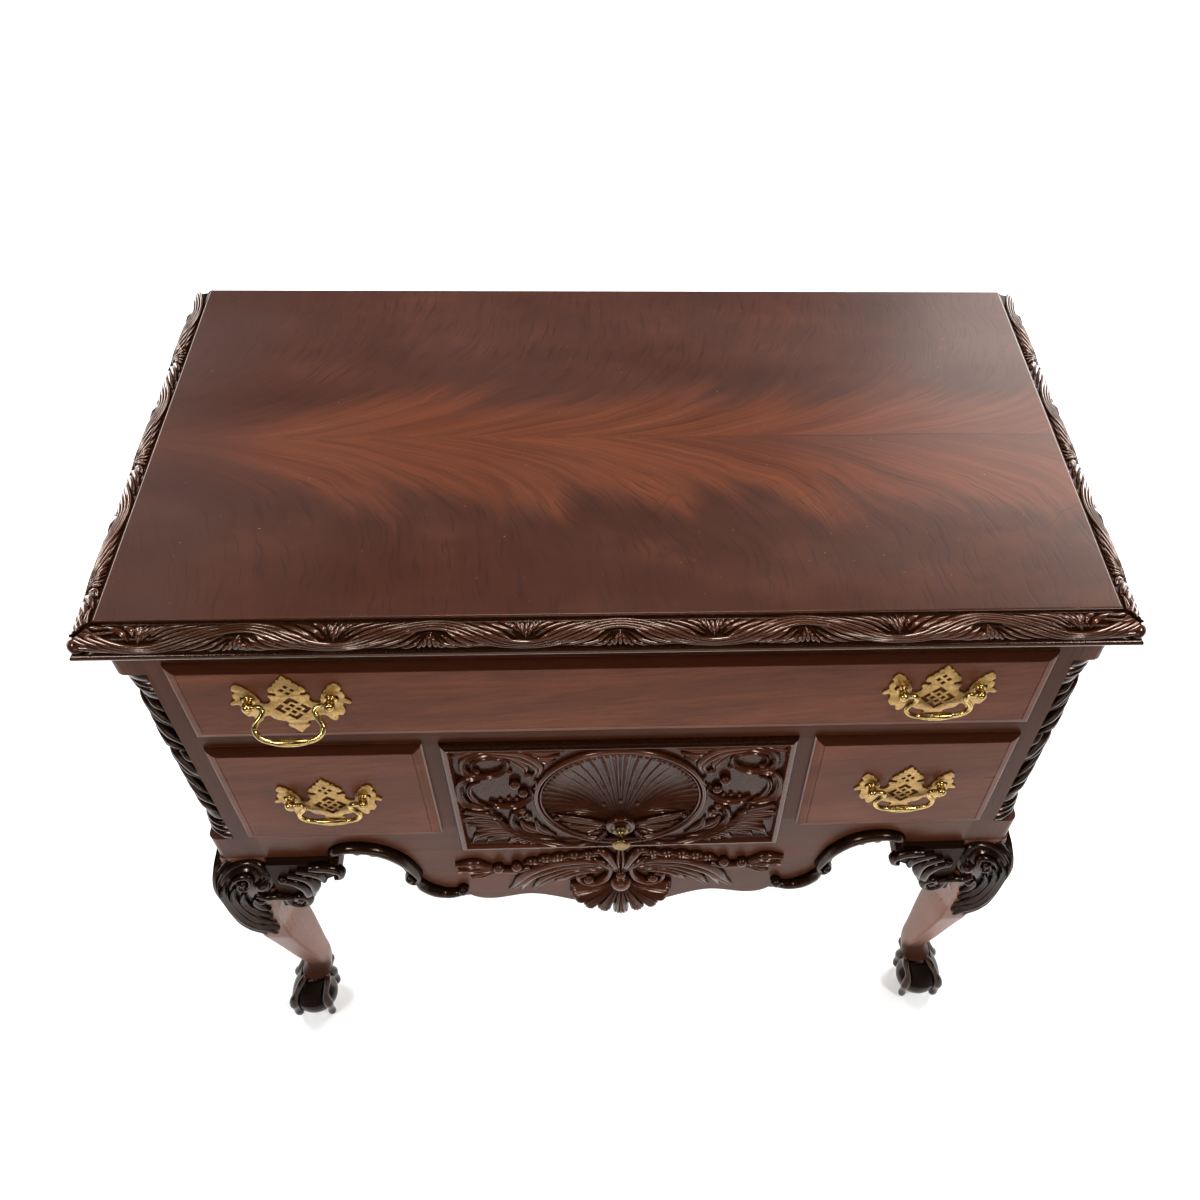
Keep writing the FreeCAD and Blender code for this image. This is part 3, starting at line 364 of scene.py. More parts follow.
def crotch_veneer(name):
    """Crotch mahogany. The feather value is x less 0.22 (1 - exp(-distance from the middle line / 0.05)), so fibres
    drawn along it leave the line nearly flat, sweep to the right and turn upright. Noise along it gives flames that
    are light up to their ragged tips, on a darker purple-brown ground; a straight seam shows on the right half."""
    f = Finish(name, Coat_Weight=0.0, Specular_IOR_Level=0.25, Specular_Tint=AMBER)
    x, y, _ = f.parts(f.object)
    sway = f.noise(f.joined(f.times(x, 5.0), 0.0), 1.0, 2)
    off = f.minus(y, f.times(sway, 0.012, 0.013))
    away = f.step("ABSOLUTE", off)
    below = f.spread(off, 0.003, -0.003)
    side = f.times(below, 3.7)

    def cloud(along, across, detail, rough=0.5):
        """Noise over the panel, stretched along it and across it."""
        return f.noise(f.joined(f.times(x, along), f.times(y, across)), 1.0, detail, rough)

    def fibre(along, across, detail, rough):
        """Noise that follows the feather, with its own pattern on each side of the middle line."""
        return f.noise(f.joined(f.times(feather, along), f.times(away, across), side), 1.0, detail, rough)

    drift = cloud(6.0, 6.0, 3)
    feather = f.times(f.step("EXPONENT", f.times(away, -20.0)), 0.22, x)
    feather = f.times(drift, 0.075, feather)
    flame = fibre(10.0, 2.0, 3, 0.55)
    plume = fibre(27.0, 6.0, 3, 0.55)
    fine = fibre(90.0, 9.0, 4, 0.65)
    thread = fibre(330.0, 26.0, 2, 0.6)
    clouds = cloud(8.0, 15.0, 4, 0.6)
    spikes = fibre(34.0, 3.0, 3, 0.6)
    reach = f.times(f.minus(spikes, 0.5), 0.10, f.times(below, 0.030, 0.058))
    reach = f.times(f.minus(flame, 0.5), f.times(below, 0.16, 0.10), reach)
    reach = f.times(reach, f.spread(x, -0.44, -0.16, 0.22, 1.0))
    inside = f.minus(reach, away)
    glow = f.spread(inside, -0.034, 0.040)
    tone = f.times(f.minus(plume, 0.5), 0.75, f.times(f.minus(fine, 0.5), 0.7, f.times(thread, 0.55)))
    tone = f.plus(tone, 0.225)
    calm = f.times(f.minus(clouds, 0.5), 0.9, f.times(f.minus(fine, 0.5), 0.45, 0.5))
    ground = f.ramp(calm, (0.2, (0.022, 0.0086, 0.0062)), (0.55, (0.040, 0.0138, 0.0092)),
                    (0.85, (0.066, 0.0205, 0.0118)))
    shade = f.times(f.spread(inside, -0.075, -0.008), f.times(below, 0.3, 0.25))
    ground = f.blend(shade, ground, (0.021, 0.0078, 0.0056))
    warm = f.times(f.spread(clouds, 0.48, 0.66),
                   f.times(f.spread(y, -0.06, -0.15), f.spread(x, -0.3, 0.1, 0.2, 0.6)))
    ground = f.blend(warm, ground, (0.085, 0.0265, 0.0135))
    ground = f.blend(f.spread(y, -0.02, -0.18, 0.0, 0.7), ground, (0.026, 0.0074, 0.0038))
    bright = f.ramp(tone, (0.18, (0.032, 0.0092, 0.0050)), (0.5, (0.072, 0.0198, 0.0090)),
                    (0.85, (0.120, 0.0345, 0.0142)))
    crest = f.spread(f.step("ABSOLUTE", f.minus(inside, 0.006)), 0.0, 0.03, 0.25, 0.0)
    bright = f.blend(crest, bright, (0.110, 0.034, 0.0160))
    wood = f.blend(f.times(glow, 0.92), ground, bright)
    right = f.spread(x, 0.0, 0.22)
    under = f.times(f.times(below, right), f.spread(away, 0.0, 0.045, 0.5, 0.0))
    wood = f.blend(under, wood, (0.036, 0.0125, 0.0080))
    seam = f.spread(away, 0.0004, 0.0018, 0.5, 0.0)
    wood = f.blend(f.times(seam, right), wood, (0.016, 0.006, 0.0045))
    wave = cloud(9.0, 3.0, 2)
    year = f.step("FRACT", f.times(wave, 5.0, f.times(y, 17.0)))
    lines = f.spread(f.step("ABSOLUTE", f.minus(year, 0.5)), 0.0, 0.045, 0.4, 0.0)
    lines = f.times(lines, f.times(f.spread(y, -0.03, -0.09), f.spread(x, -0.1, 0.05)))
    wood = f.blend(lines, wood, (0.020, 0.0072, 0.0050))
    pores = f.spread(thread, 0.52, 0.68)
    wood = f.blend(f.times(pores, 0.62), wood, (0.018, 0.0066, 0.0050))
    wood = f.blend(f.spread(x, -0.39, -0.30, 0.5, 0.0), wood, (0.030, 0.0125, 0.0095))
    specks = f.spread(f.noise(f.mapped(), 330.0, 1.0), 0.785, 0.80)
    wood = f.blend(f.times(specks, 0.35), wood, (0.30, 0.20, 0.13))
    f.colour(wood)
    haze = f.noise(f.mapped((5, 9, 5)), 1.0, 3)
    f.roughness(f.spread(haze, 0.3, 0.7, 0.28, 0.36))
    f.bump(f.minus(f.times(thread, 0.3), pores), 0.15, 0.0002)
    return f.material


def plain_wood(name, grain):
    """Pale secondary wood of drawer sides and linings: long soft streaks, dulled and a little darker in places."""
    f = Finish(name, Specular_IOR_Level=0.3)
    turned = f.mapped(turn=GRAIN_TURN[grain])
    bands = f.noise(f.mapped((1.6, 34, 34), source=turned), 1.0, 4, 0.55, 0.5)
    streaks = f.noise(f.mapped((7, 320, 320), source=turned), 1.0, 3, 0.6)
    clouds = f.noise(f.mapped((6, 6, 6)), 1.0, 3)
    tone = f.times(streaks, 0.45, f.times(bands, 0.6))
    wood = f.ramp(tone, (0.3, (0.22, 0.125, 0.062)), (0.52, (0.36, 0.225, 0.118)), (0.75, (0.46, 0.31, 0.17)))
    wood = f.blend(f.spread(clouds, 0.45, 0.75, 0.0, 0.4), wood, (0.20, 0.115, 0.06))
    f.colour(wood)
    f.roughness(f.spread(clouds, 0.3, 0.7, 0.55, 0.7))
    f.bump(streaks, 0.2, 0.0003)
    return f.material


def polished_brass(name, dark, mid, light, rough, pebble=0.04):
    """Polished brass with a light tarnish: browner and duller clouds and spots, with fine scratches in the gloss
    and, on cast plates, a pebbled skin."""
    f = Finish(name, Metallic=1.0)
    clouds = f.noise(f.mapped((60, 60, 60)), 1.0, 4, 0.6)
    spots = f.noise(f.mapped((420, 420, 420)), 1.0, 3, 0.6)
    lines = f.noise(f.mapped((2200, 300, 700), turn=(0, 25, 0)), 1.0, 2)
    metal = f.ramp(clouds, (0.3, dark), (0.55, mid), (0.75, light))
    metal = f.blend(f.spread(spots, 0.48, 0.70, 0.0, 0.7), metal, (0.13, 0.068, 0.018))
    f.colour(metal)
    sheen = f.plus(f.times(clouds, 0.6), f.times(lines, 0.4))
    f.roughness(f.spread(sheen, 0.3, 0.7, rough - 0.08, rough + 0.1))
    f.bump(f.plus(f.times(spots, 0.6), f.times(lines, 0.1)), pebble, 0.0006)
    return f.material


# Dark, middle and light tone of each wood.
RED_TONES = (0.044, 0.0120, 0.0048), (0.092, 0.0252, 0.0102), (0.150, 0.044, 0.0185)
APRON_TONES = (0.032, 0.0092, 0.0040), (0.062, 0.0180, 0.0080), (0.100, 0.031, 0.0135)
POST_TONES = (0.028, 0.0088, 0.0042), (0.054, 0.0170, 0.0082), (0.086, 0.028, 0.0135)
# The rails have darker tones as painted shade: they lie in shadow under the lips and the top.
RAIL_SHADE_TONES = (0.022, 0.0064, 0.0028), (0.042, 0.0122, 0.0054), (0.070, 0.021, 0.0092)
CARVED_TONES = (0.024, 0.0060, 0.0023), (0.047, 0.0120, 0.0047), (0.076, 0.021, 0.0082)
DARK_TONES = (0.0062, 0.0025, 0.0013), (0.0118, 0.0047, 0.0023), (0.021, 0.0080, 0.0037)
EDGE_TONES = (0.0145, 0.0043, 0.0017), (0.030, 0.0087, 0.0032), (0.053, 0.0157, 0.0057)

top_wood = crotch_veneer("crotch_mahogany")
front_wood = mahogany("mahogany_front", "x", RED_TONES, lean=6, gloss=0.11, carved=0.95, dotted=0.0)
apron_wood = mahogany("mahogany_apron", "x", APRON_TONES, gloss=0.15)
post_wood = mahogany("mahogany_post", "z", POST_TONES, gloss=0.1)
shaded_rail_wood = mahogany("mahogany_rail_painted_shade", "x", RAIL_SHADE_TONES, gloss=0.08)
side_wood = mahogany("mahogany_side", "y", RED_TONES, gloss=0.25)
leg_wood = mahogany("mahogany_leg", "z", RED_TONES, rough=0.3, gloss=0.4, carved=1.0, dotted=0.0)
carved_wood = mahogany("mahogany_carved", "x", CARVED_TONES, rough=0.16, gloss=0.32, carved=0.9)
dark_wood = mahogany("mahogany_dark", "z", DARK_TONES, rough=0.12, gloss=0.26, carved=0.94)
edge_wood = mahogany("mahogany_edge", "x", EDGE_TONES, rough=0.15, coat=0.15, gloss=0.55, carved=0.9)
bracket_wood = mahogany("mahogany_bracket", "x", DARK_TONES, gloss=0.03)
lining_long = plain_wood("lining_along", "y")
lining_across = plain_wood("lining_across", "x")
brass = polished_brass("aged_brass", (0.34, 0.215, 0.068), (0.49, 0.335, 0.122), (0.60, 0.435, 0.185), 0.2)
knob_brass = polished_brass("knob_brass", (0.11, 0.068, 0.024), (0.17, 0.112, 0.044), (0.25, 0.172, 0.074), 0.26)
plate_brass = polished_brass("plate_brass", (0.24, 0.14, 0.042), (0.37, 0.226, 0.074), (0.52, 0.345, 0.135), 0.34,
                             pebble=0.5)

# Finish of each node, by the first of these words that its name holds; drawer fronts have none of them.
FINISH_OF = {
    "top_panel": top_wood,
    "side_panel": side_wood,
    "back_panel": lining_across,
    "runners": lining_long,
    "lower_guides": lining_long,
    "drawer_side": lining_long,
    "drawer_bottom": lining_across,
    "drawer_back": lining_across,
    "plate": plate_brass,
    "posts": brass,
    "bail": brass,
    "knob": knob_brass,
    "leg_": leg_wood,
    "molding": edge_wood,
    "quarter_column": dark_wood,
    "knee_bracket": bracket_wood,
    "side_brackets": bracket_wood,
    "apron_": carved_wood,
    "apron": apron_wood,
    "divider": post_wood,
    "_rail": shaded_rail_wood,
}
for name, node in nodes.items():
    finish = next((m for key, m in FINISH_OF.items() if key in name), front_wood)
    node.data.materials.clear()
    node.data.materials.append(finish)
    if "side_brackets" in name:
        # The rear bracket of each pair has the wood of its leg.
        middles = np.empty(3 * len(node.data.polygons))
        node.data.polygons.foreach_get("center", middles)
        node.data.materials.append(leg_wood)
        node.data.polygons.foreach_set("material_index", (middles[1::3] > 0).astype(np.int32))


# Sizes shared by the pieces below: the case, the drawer fronts over their lips (left, right, lower and upper edge)
# and the middles of the pulls.
HANDS = (("left", -1), ("right", 1))
PANEL_HALF, PANEL_FRONT, PANEL_REAR, TOP_Z = 425.0, -205.0, 260.0, 803.0
SIDE_RUN = PANEL_REAR - PANEL_FRONT
CASE_HALF, CASE_FRONT, CASE_REAR = 429.0, -209.2, 242.8
FACE_Y, LIP_BACK, BLOCK_BACK, LIP_LAP = -216.5, -209.5, -194.2, 6.3
LONG_FRONT, CENTER_FRONT = (-385.0, 385.0, 650.0, 754.0), (-170.6, 170.6, 433.0, 630.0)
LEFT_FRONT, RIGHT_FRONT = (-385.0, -186.0, 470.0, 630.0), (186.0, 385.0, 470.0, 630.0)
PULL_X, LONG_PULL_Z, SIDE_PULL_Z = 287, 711, 551


# Carved edge of the top.

# Slope of the carved field, as (out from the panel, drop), with its length and direction at each point.
EDGE_FIELD = path_through([(1.6, -1.6), (10.0, -2.5), (15.6, -4.9), (18.5, -8.7), (19.6, -13.0), (19.3, -17.0),
                           (18.2, -20.6)], 60)
EDGE_RUN = np.concatenate([[0], np.cumsum(np.linalg.norm(np.diff(EDGE_FIELD, axis=0), axis=1))])
EDGE_SLOPE = np.gradient(EDGE_FIELD, axis=0)
EDGE_SLOPE /= np.linalg.norm(EDGE_SLOPE, axis=1)[:, None]
EDGE_WIDE = EDGE_RUN[-1]
# Wave length of the strands, depth of the ground below them, steps along the edge, and how far behind the front mitre
# the first fan of a side stands.
EDGE_PERIOD, EDGE_SINK, EDGE_STEPS, FAN_FROM_MITRE = 149.0, 2.3, 240, 56
# Strands: their places about the wave, as shares of the slope, and their width and height.
STRANDS, STRAND_WIDE, STRAND_HIGH = (-0.15, -0.05, 0.05, 0.15), 3.1, 3.5
# Bead along the lower edge: out, drop, and its two radii.
BEAD_OUT, BEAD_DROP, BEAD_DEEP, BEAD_HIGH = 17.5, -24.5, 3.5, 3.4
# Hollow cut at a mitre, its depth and reach, and the ball that lies in it: out, drop and radius.
CORNER_CUT, CORNER_REACH = 4.6, 8.0
BALL_OUT, BALL_DROP, BALL_ROUND = 13.6, -14.2, 7.6
# Leaves and ribs of a fan, and strokes at a mitre with their widths: (along the edge, share of the slope).
EDGE_LEAVES = [
    [(9, 0.82), (28, 0.47), (62, 0.13)],
    [(9, 0.68), (25, 0.37), (50, 0.09)],
    [(8, 0.53), (19, 0.29), (37, 0.08)],
    [(7, 0.40), (13, 0.22), (24, 0.07)],
]
EDGE_FANS = [
    [(0, 0.06), (0, 0.30), (0, 0.62)],
    [(5.4, 0.07), (4.2, 0.24), (1.8, 0.52)],
    [(11, 0.08), (8, 0.2), (4, 0.36)],
]
EDGE_CORNER = [
    ([(7, 0.74), (20, 0.78), (34, 0.84), (50, 0.90)], 7.0),
    ([(4, 0.12), (12, 0.16), (22, 0.14)], 4.0),
    ([(3, 0.30), (14, 0.34), (30, 0.26)], 4.4),
]


def edge_face(p):
    """Carved field of the edge: v runs down the curved slope, h stands square to it; gives (u, out, z)."""
    out = np.interp(p[..., 1], EDGE_RUN, EDGE_FIELD[:, 0])
    drop = np.interp(p[..., 1], EDGE_RUN, EDGE_FIELD[:, 1])
    lean = np.interp(p[..., 1], EDGE_RUN, EDGE_SLOPE[:, 1])
    fall = np.interp(p[..., 1], EDGE_RUN, EDGE_SLOPE[:, 0])
    return np.stack([p[..., 0], out - p[..., 2] * lean, drop + p[..., 2] * fall], -1)


def front_edge(p):
    """(u, out, z) along the front: u is stretched with the distance out, so both ends lie on the mitres."""
    return np.stack([p[..., 0] * (PANEL_HALF + p[..., 1]) / PANEL_HALF, PANEL_FRONT - p[..., 1],
                     TOP_Z + p[..., 2]], -1)


def side_edge(hand):
    """(u, out, z) along a side: u runs from the rear end to the front mitre."""
    return lambda p: np.stack([hand * (PANEL_HALF + p[..., 1]),
                               PANEL_REAR - p[..., 0] * (SIDE_RUN + p[..., 1]) / SIDE_RUN, TOP_Z + p[..., 2]], -1)


def edge_strip(name, start, stop, low_fans, high_fans, place, mitres):
    """Carved edge: the molding's section carried along u and cut back towards the mitres, four strands that rise and
    fall along it as a cosine, and, in each bay the strands leave, a fan with leaves that sweep out along them."""
    piece = Piece(name)
    slope = np.linspace(0.04, 0.97, 24) * EDGE_WIDE
    sunk = edge_face(np.stack([0 * slope, slope, 0 * slope - EDGE_SINK], 1))[:, 1:]
    turn = np.linspace(np.pi / 2, -np.pi / 2, 9)
    bead = np.stack([BEAD_OUT + BEAD_DEEP * np.cos(turn), BEAD_DROP + BEAD_HIGH * np.sin(turn)], 1)
    loop = np.vstack([[(0, -0.9), (0.9, -0.9), (1.3, -2.4)], sunk, [(18.0, -20.9)], bead, [(0, -28.0)]])
    # Painted shade along the section: rising into the sunk field, dark over it, and fading down the bead.
    painted_shade_and_highlight = np.concatenate([[0.2, 0.5, 1.0], np.full(len(sunk), 0.9), [0.7], np.linspace(0.7, 0.0, 9), [0]])
    carved = np.concatenate([[0, 0, 0], np.ones(len(sunk)), np.zeros(11)])
    across = np.linspace(start, stop, EDGE_STEPS)
    cut = sum(CORNER_CUT * np.exp(-(((across - m) / CORNER_REACH) ** 2)) for m in mitres)
    rings = np.concatenate([np.broadcast_to(across[:, None, None], (EDGE_STEPS, len(loop), 1)),
                            np.broadcast_to(loop[None], (EDGE_STEPS, len(loop), 2)),
                            np.broadcast_to(painted_shade_and_highlight[None, :, None], (EDGE_STEPS, len(loop), 1))], 2)
    rings[..., 1] -= cut[:, None] * carved[None] * np.clip(loop[:, 0] / 12, 0, 1)[None]
    piece.add(rings, place)
    carve = lambda p: place(edge_face(p))
    first = start + (4.0 if start in mitres else 0.5)
    last = stop - (4.0 if stop in mitres else 0.5)
    steps = int((last - first) / EDGE_PERIOD * 8) + 2
    run = np.linspace(first, last, steps)
    wave = np.cos(2 * np.pi * (run - low_fans[0]) / EDGE_PERIOD)
    for shift in STRANDS:
        middle = (0.5 - 0.31 * wave + shift * (1.0 - 0.3 * wave**2)) * EDGE_WIDE
        line = np.stack([run, middle], 1)
        piece.add(stroke(line, [STRAND_WIDE], [STRAND_HIGH], ROUND, steps * 3, -EDGE_SINK), carve)
    for fans, down in ((high_fans, False), (low_fans, True)):
        for fan in fans:
            for hand in (-1, 1):
                for k, leaf in enumerate(EDGE_LEAVES + EDGE_FANS):
                    if hand > 0 and k == len(EDGE_LEAVES):
                        continue
                    track = [(fan + hand * u, (1 - v if down else v) * EDGE_WIDE) for u, v in leaf]
                    if min(t[0] for t in track) < first or max(t[0] for t in track) > last:
                        continue
                    fat = 4.4 if k < len(EDGE_LEAVES) else 4.0
                    piece.add(stroke(track, [1.2, fat, fat, 1.0], [1.8, 3.4, 3.3, 1.6], ROUND, 14, -EDGE_SINK), carve)
    for mitre in mitres:
        inward = 1 if mitre == start else -1
        for points, fat in EDGE_CORNER:
            track = [(mitre + inward * u, v * EDGE_WIDE) for u, v in points]
            widths = [0.7 * fat, fat, 0.8 * fat, 1.2]
            piece.add(stroke(track, widths, [2.6, 3.5, 3.4, 1.8], ROUND, 18, -EDGE_SINK), carve)
    return piece


half_steps = (np.arange(6) - 2.5) * EDGE_PERIOD
front_strip = edge_strip("carved_edge_front", -PANEL_HALF, PANEL_HALF, (np.arange(5) - 2) * EDGE_PERIOD, half_steps,
                         front_edge, (-PANEL_HALF, PANEL_HALF))
for hand in (-1, 1):
    corner = np.array([hand * (PANEL_HALF + BALL_OUT), PANEL_FRONT - BALL_OUT, TOP_Z + BALL_DROP])
    front_strip.add(ball(0, 0, BALL_ROUND, 0.0, 0.0, 11, 20), lambda p: p + corner)
front_strip.finish("case", "mahogany_carved", edge_wood, ["top_molding_front"])
side_high = SIDE_RUN - FAN_FROM_MITRE - np.arange(3) * EDGE_PERIOD
side_low = SIDE_RUN - FAN_FROM_MITRE - EDGE_PERIOD / 2 - np.arange(3) * EDGE_PERIOD
for word, hand in HANDS:
    strip = edge_strip("carved_edge_" + word, 0.0, SIDE_RUN, side_low, side_high, side_edge(hand), (SIDE_RUN,))
    strip.finish("case", "mahogany_carved", edge_wood, ["top_molding_" + word])


# Drawer fronts.

# Lip of a plain front: distance in from its edge and height over its back.
LIP_STEPS = np.array([0, 0.1, 0.35, 0.8, 1.5, 2.5, 3.6, 4.7, 4.9, 6.2, 7.6, 8.8, 9.0, 9.35, 9.5, 11])
LIP_RISE = np.array([0.8, 1.7, 2.7, 3.6, 4.5, 5.2, 5.65, 5.85, 6.15, 6.45, 6.7, 6.85, 6.3, 6.3, 7.0, 7.0])


def thumb_rise(d):
    """Lip by distance in from its edge: a quarter round, a shallow swell, a fine groove and the face."""
    return np.interp(d, LIP_STEPS, LIP_RISE)


def lip_lines(low, high, inner):
    """Grid lines across a front, close together over the lip and even between."""
    middle = np.linspace(low + LIP_STEPS[-1], high - LIP_STEPS[-1], inner)[1:-1]
    return np.concatenate([low + LIP_STEPS, middle, high - LIP_STEPS[::-1]])


def front_rings(x, z, rise, painted_shade_and_highlight, deep):
    """Drawer front: one ring to each height, the face from left to right and the back from right to left. The back
    is flat behind the lip and stands deep further in between the edges of the opening."""
    face = np.stack([np.broadcast_to(x, rise.shape), np.broadcast_to(z[:, None], rise.shape), rise, painted_shade_and_highlight], 2)
    back_x = np.array([x[-1], x[-1] - LIP_LAP, x[-1] - LIP_LAP, x[0] + LIP_LAP, x[0] + LIP_LAP, x[0]])
    inside = (z > z[0] + LIP_LAP) & (z < z[-1] - LIP_LAP)
    level = np.where(inside, -deep, 0.0)[:, None] * np.array([0, 0, 1, 1, 0, 0])
    back = np.stack([np.broadcast_to(back_x, level.shape), np.broadcast_to(z[:, None], level.shape), level,
                     0 * level], 2)
    return np.concatenate([face, back], 1)


def lip_distance(x, z):
    """Distance in from the nearest edge of the front."""
    return np.minimum(np.minimum(x - x[0], x[-1] - x)[None], np.minimum(z - z[0], z[-1] - z)[:, None])


def lip_shade_and_highlight(x, z):
    """Painted shade of a lip: full on the upper lip, which lies in shade, and below 0, as a painted highlight, on the
    side and lower edges."""
    d = lip_distance(x, z)
    upper = (z[-1] - z)[:, None] <= d + 1e-6
    return np.where(upper, np.interp(d, [8.8, 9.4], [1.0, 0.0]), np.interp(d, [0.0, 0.5, 1.0], [-1.0, -1.0, 0.0]))


def plain_front(name, body, x0, x1, z0, z1):
    """Plain drawer front with a thumb-molded lip all round."""
    x, z = lip_lines(x0, x1, 20), lip_lines(z0, z1, 8)
    rise = thumb_rise(lip_distance(x, z))
    piece = Piece(name + "_face")
    piece.add(front_rings(x, z, rise, lip_shade_and_highlight(x, z), BLOCK_BACK - LIP_BACK), on_front(LIP_BACK))
    piece.finish(body, "mahogany_case", front_wood, [name], 30)


plain_front("long_drawer_front", "long_drawer", *LONG_FRONT)
plain_front("left_drawer_front", "left_drawer", *LEFT_FRONT)
plain_front("right_drawer_front", "right_drawer", *RIGHT_FRONT)

# Shell drawer: middle, radius and floor of the dish, hub, sunk field, and the number and half span of the rays.
DISH_Z, DISH_R, DISH_FLOOR, HUB_Z = 530.5, 82.0, -12.5, 474.0
FIELD, RAYS, RAY_SPAN = 1.2, 29, math.radians(79)
# Lip and frame: distance in from the edge and height over the back.
FRAME_STEPS = [0, 0.1, 0.35, 0.8, 1.5, 2.5, 3.6, 4.7, 4.9, 7.2, 7.6, 9.5, 11]
FRAME_RISE = [0.8, 1.7, 2.7, 3.6, 4.5, 5.2, 5.65, 5.85, 6.6, 7.0, 6.9, 3.2, FIELD]
# Rims of the dish (radius, width, height, base), and the row of beads inside them.
RIMS = [(85.0, 6.4, 5.8, FIELD - 0.2), (80.4, 2.8, 3.0, 2.4)]
BEADS, BEAD_R, BEAD_SPAN = 33, 77.2, 1.35

# Left half of the leaf carving round the dish: (points, widths, heights, section); the right half mirrors it. The
# strokes are cut fuller and taller than drawn.
FULLER, TALLER = 1.45, 1.15
DRAWER_STROKES = [
    ([(-98, 613), (-114, 617), (-131, 616), (-146, 608), (-152, 596), (-149, 582), (-137, 576), (-123, 578),
      (-112, 587), (-109, 597), (-114, 606), (-124, 608), (-134, 606), (-142, 598), (-143, 589), (-139, 585)],
     [3, 6, 5.5, 4.5, 3.5, 2.5], [4.4, 5, 5, 4.6, 4.2, 3.6], SCOOP),
    ([(-134, 617), (-112, 615), (-94, 608), (-82, 594), (-80, 582), (-87, 572)], [2, 9, 12, 9, 3],
     [4, 5.5, 5.2, 4.6, 3], LEAF),
    ([(-109, 608), (-99, 600), (-93, 589), (-93, 578)], [2, 8, 7, 2], [3.6, 4.6, 4.6, 3], LEAF),
    ([(-94, 617), (-75, 614), (-54, 616)], [2, 6, 1.5], [3, 4.4, 2.4], LEAF),
    ([(-84, 610), (-72, 605), (-58, 608)], [2, 6, 1.5], [3, 4.4, 2.4], LEAF),
    ([(-79, 602), (-70, 598), (-62, 600)], [2, 4.5, 1.5], [3, 4, 2.4], LEAF),
    ([(-135, 619), (-150, 616), (-164, 618)], [2, 5, 1.5], [3, 4.2, 2.4], LEAF),
    ([(-142, 614), (-154, 612), (-164, 607)], [2, 5.5, 1.5], [3, 4.2, 2.4], LEAF),
    ([(-132, 574), (-149, 572), (-158, 561), (-160, 544), (-155, 528), (-142, 520), (-130, 516)],
     [3, 6, 6.5, 6, 3.5], [3.8, 4.8, 5, 4.8, 3.8], SCOOP),
    ([(-138, 565), (-148, 558), (-150, 544), (-145, 530), (-136, 522)], [1.5, 4.5, 4.5, 1.5], [3, 4, 4, 3], LEAF),
    ([(-132, 529), (-122, 522), (-107, 522), (-95, 530), (-88, 540), (-90, 549)], [2, 5, 5.5, 4.5, 2.5],
     [3.4, 4.6, 5, 4.4, 3.4], SCOOP),
    ([(-84, 566), (-82, 558), (-86, 551)], [2, 4, 2], [3, 4, 3], ROUND),
    ([(-132, 516), (-128, 498), (-116, 478), (-98, 460), (-75, 446), (-52, 439), (-32, 444), (-20, 457), (-16, 466)],
     [3, 5.5, 5.5, 5, 5, 4], [4, 5, 5, 5, 5, 5], SCOOP),
    ([(-100, 513), (-109, 506), (-112, 490), (-105, 475), (-88, 460), (-70, 451)], [3.5, 5, 5, 4, 2],
     [4.6, 4.8, 4.6, 4, 3], SCOOP),
    ([(-105, 498), (-100, 503), (-94, 501), (-93, 495), (-98, 493)], [3, 3.6, 2.6], [4, 4.2, 3.6], ROUND),
    ([(-104, 492), (-98, 478), (-80, 463)], [2, 10, 2], [3, 4.4, 2.6], LEAF),
    ([(-88, 490), (-84, 473), (-68, 457)], [2, 8, 2], [3, 4.2, 2.6], LEAF),
    ([(-122, 496), (-138, 504), (-159, 509)], [3, 8, 5], [4.4, 4.8, 3], LEAF),
    ([(-121, 490), (-139, 495), (-162, 494)], [3, 8, 5], [4.4, 4.8, 3], LEAF),
    ([(-116, 484), (-138, 486), (-158, 482)], [3, 7, 4], [4.2, 4.4, 2.8], LEAF),
    ([(-112, 475), (-130, 479), (-150, 473)], [3, 10, 4], [4.4, 5, 3], LEAF),
    ([(-104, 467), (-129, 470), (-148, 463), (-157, 448)], [3, 9, 8, 2.5], [4.4, 4.8, 4.4, 2.8], LEAF),
    ([(-103, 464), (-122, 464), (-136, 456), (-142, 446)], [3, 7, 6, 2], [4, 4.4, 4, 2.6], LEAF),
    ([(-94, 458), (-108, 458), (-118, 446)], [3, 8, 4], [4, 4.8, 3], LEAF),
    ([(-91, 454), (-102, 451), (-107, 441)], [3, 7.5, 4], [4, 4.8, 3], LEAF),
    ([(-86, 450), (-93, 446), (-91, 439)], [2.5, 6.5, 4], [4, 4.4, 3], LEAF),
]
DRAWER_BALLS = [
    (-139, 584, 3.2), (-148, 572, 3.2), (-104, 562, 6.2), (-97, 546, 5.6), (-108, 582, 3.2), (-121, 530, 2.4),
    (-112, 533, 2.4), (-104, 532, 2.4), (-100, 512, 4.2), (-94, 496, 2.6), (-90, 576, 3.6),
]
# Turned hub: radius, height and painted shade.
HUB_TURNING = np.array([
    (0.5, -4, 0), (15.5, -3, 0.6), (15.8, 3.2, 0.4), (14.6, 4.8, 0), (12.4, 5.2, 0), (11.2, 4.0, 0.5),
    (9.8, 3.6, 0.7), (8.0, 4.6, 0.2), (4.5, 5.2, 0),
])
# Left half of the petals under the shell, inside the rim.
PETAL_STROKES = [
    ([(-15, 473), (-36, 480), (-55, 487), (-68, 494)], [5, 10, 11, 5], [2.4, 3.8, 4.2, 3.4], LEAF),
    ([(-16, 468), (-36, 470), (-52, 473), (-62, 480)], [5, 10, 10, 5], [3, 4.6, 4.8, 4], LEAF),
    ([(-62, 480), (-55, 464), (-40, 456), (-24, 461), (-15, 467)], [3, 6, 7, 6, 3], [4, 5.4, 5.4, 5, 4.5], SCOOP),
    ([(-50, 466), (-38, 463), (-22, 468)], [3, 7, 3], [3.6, 4.6, 4], LEAF),
]


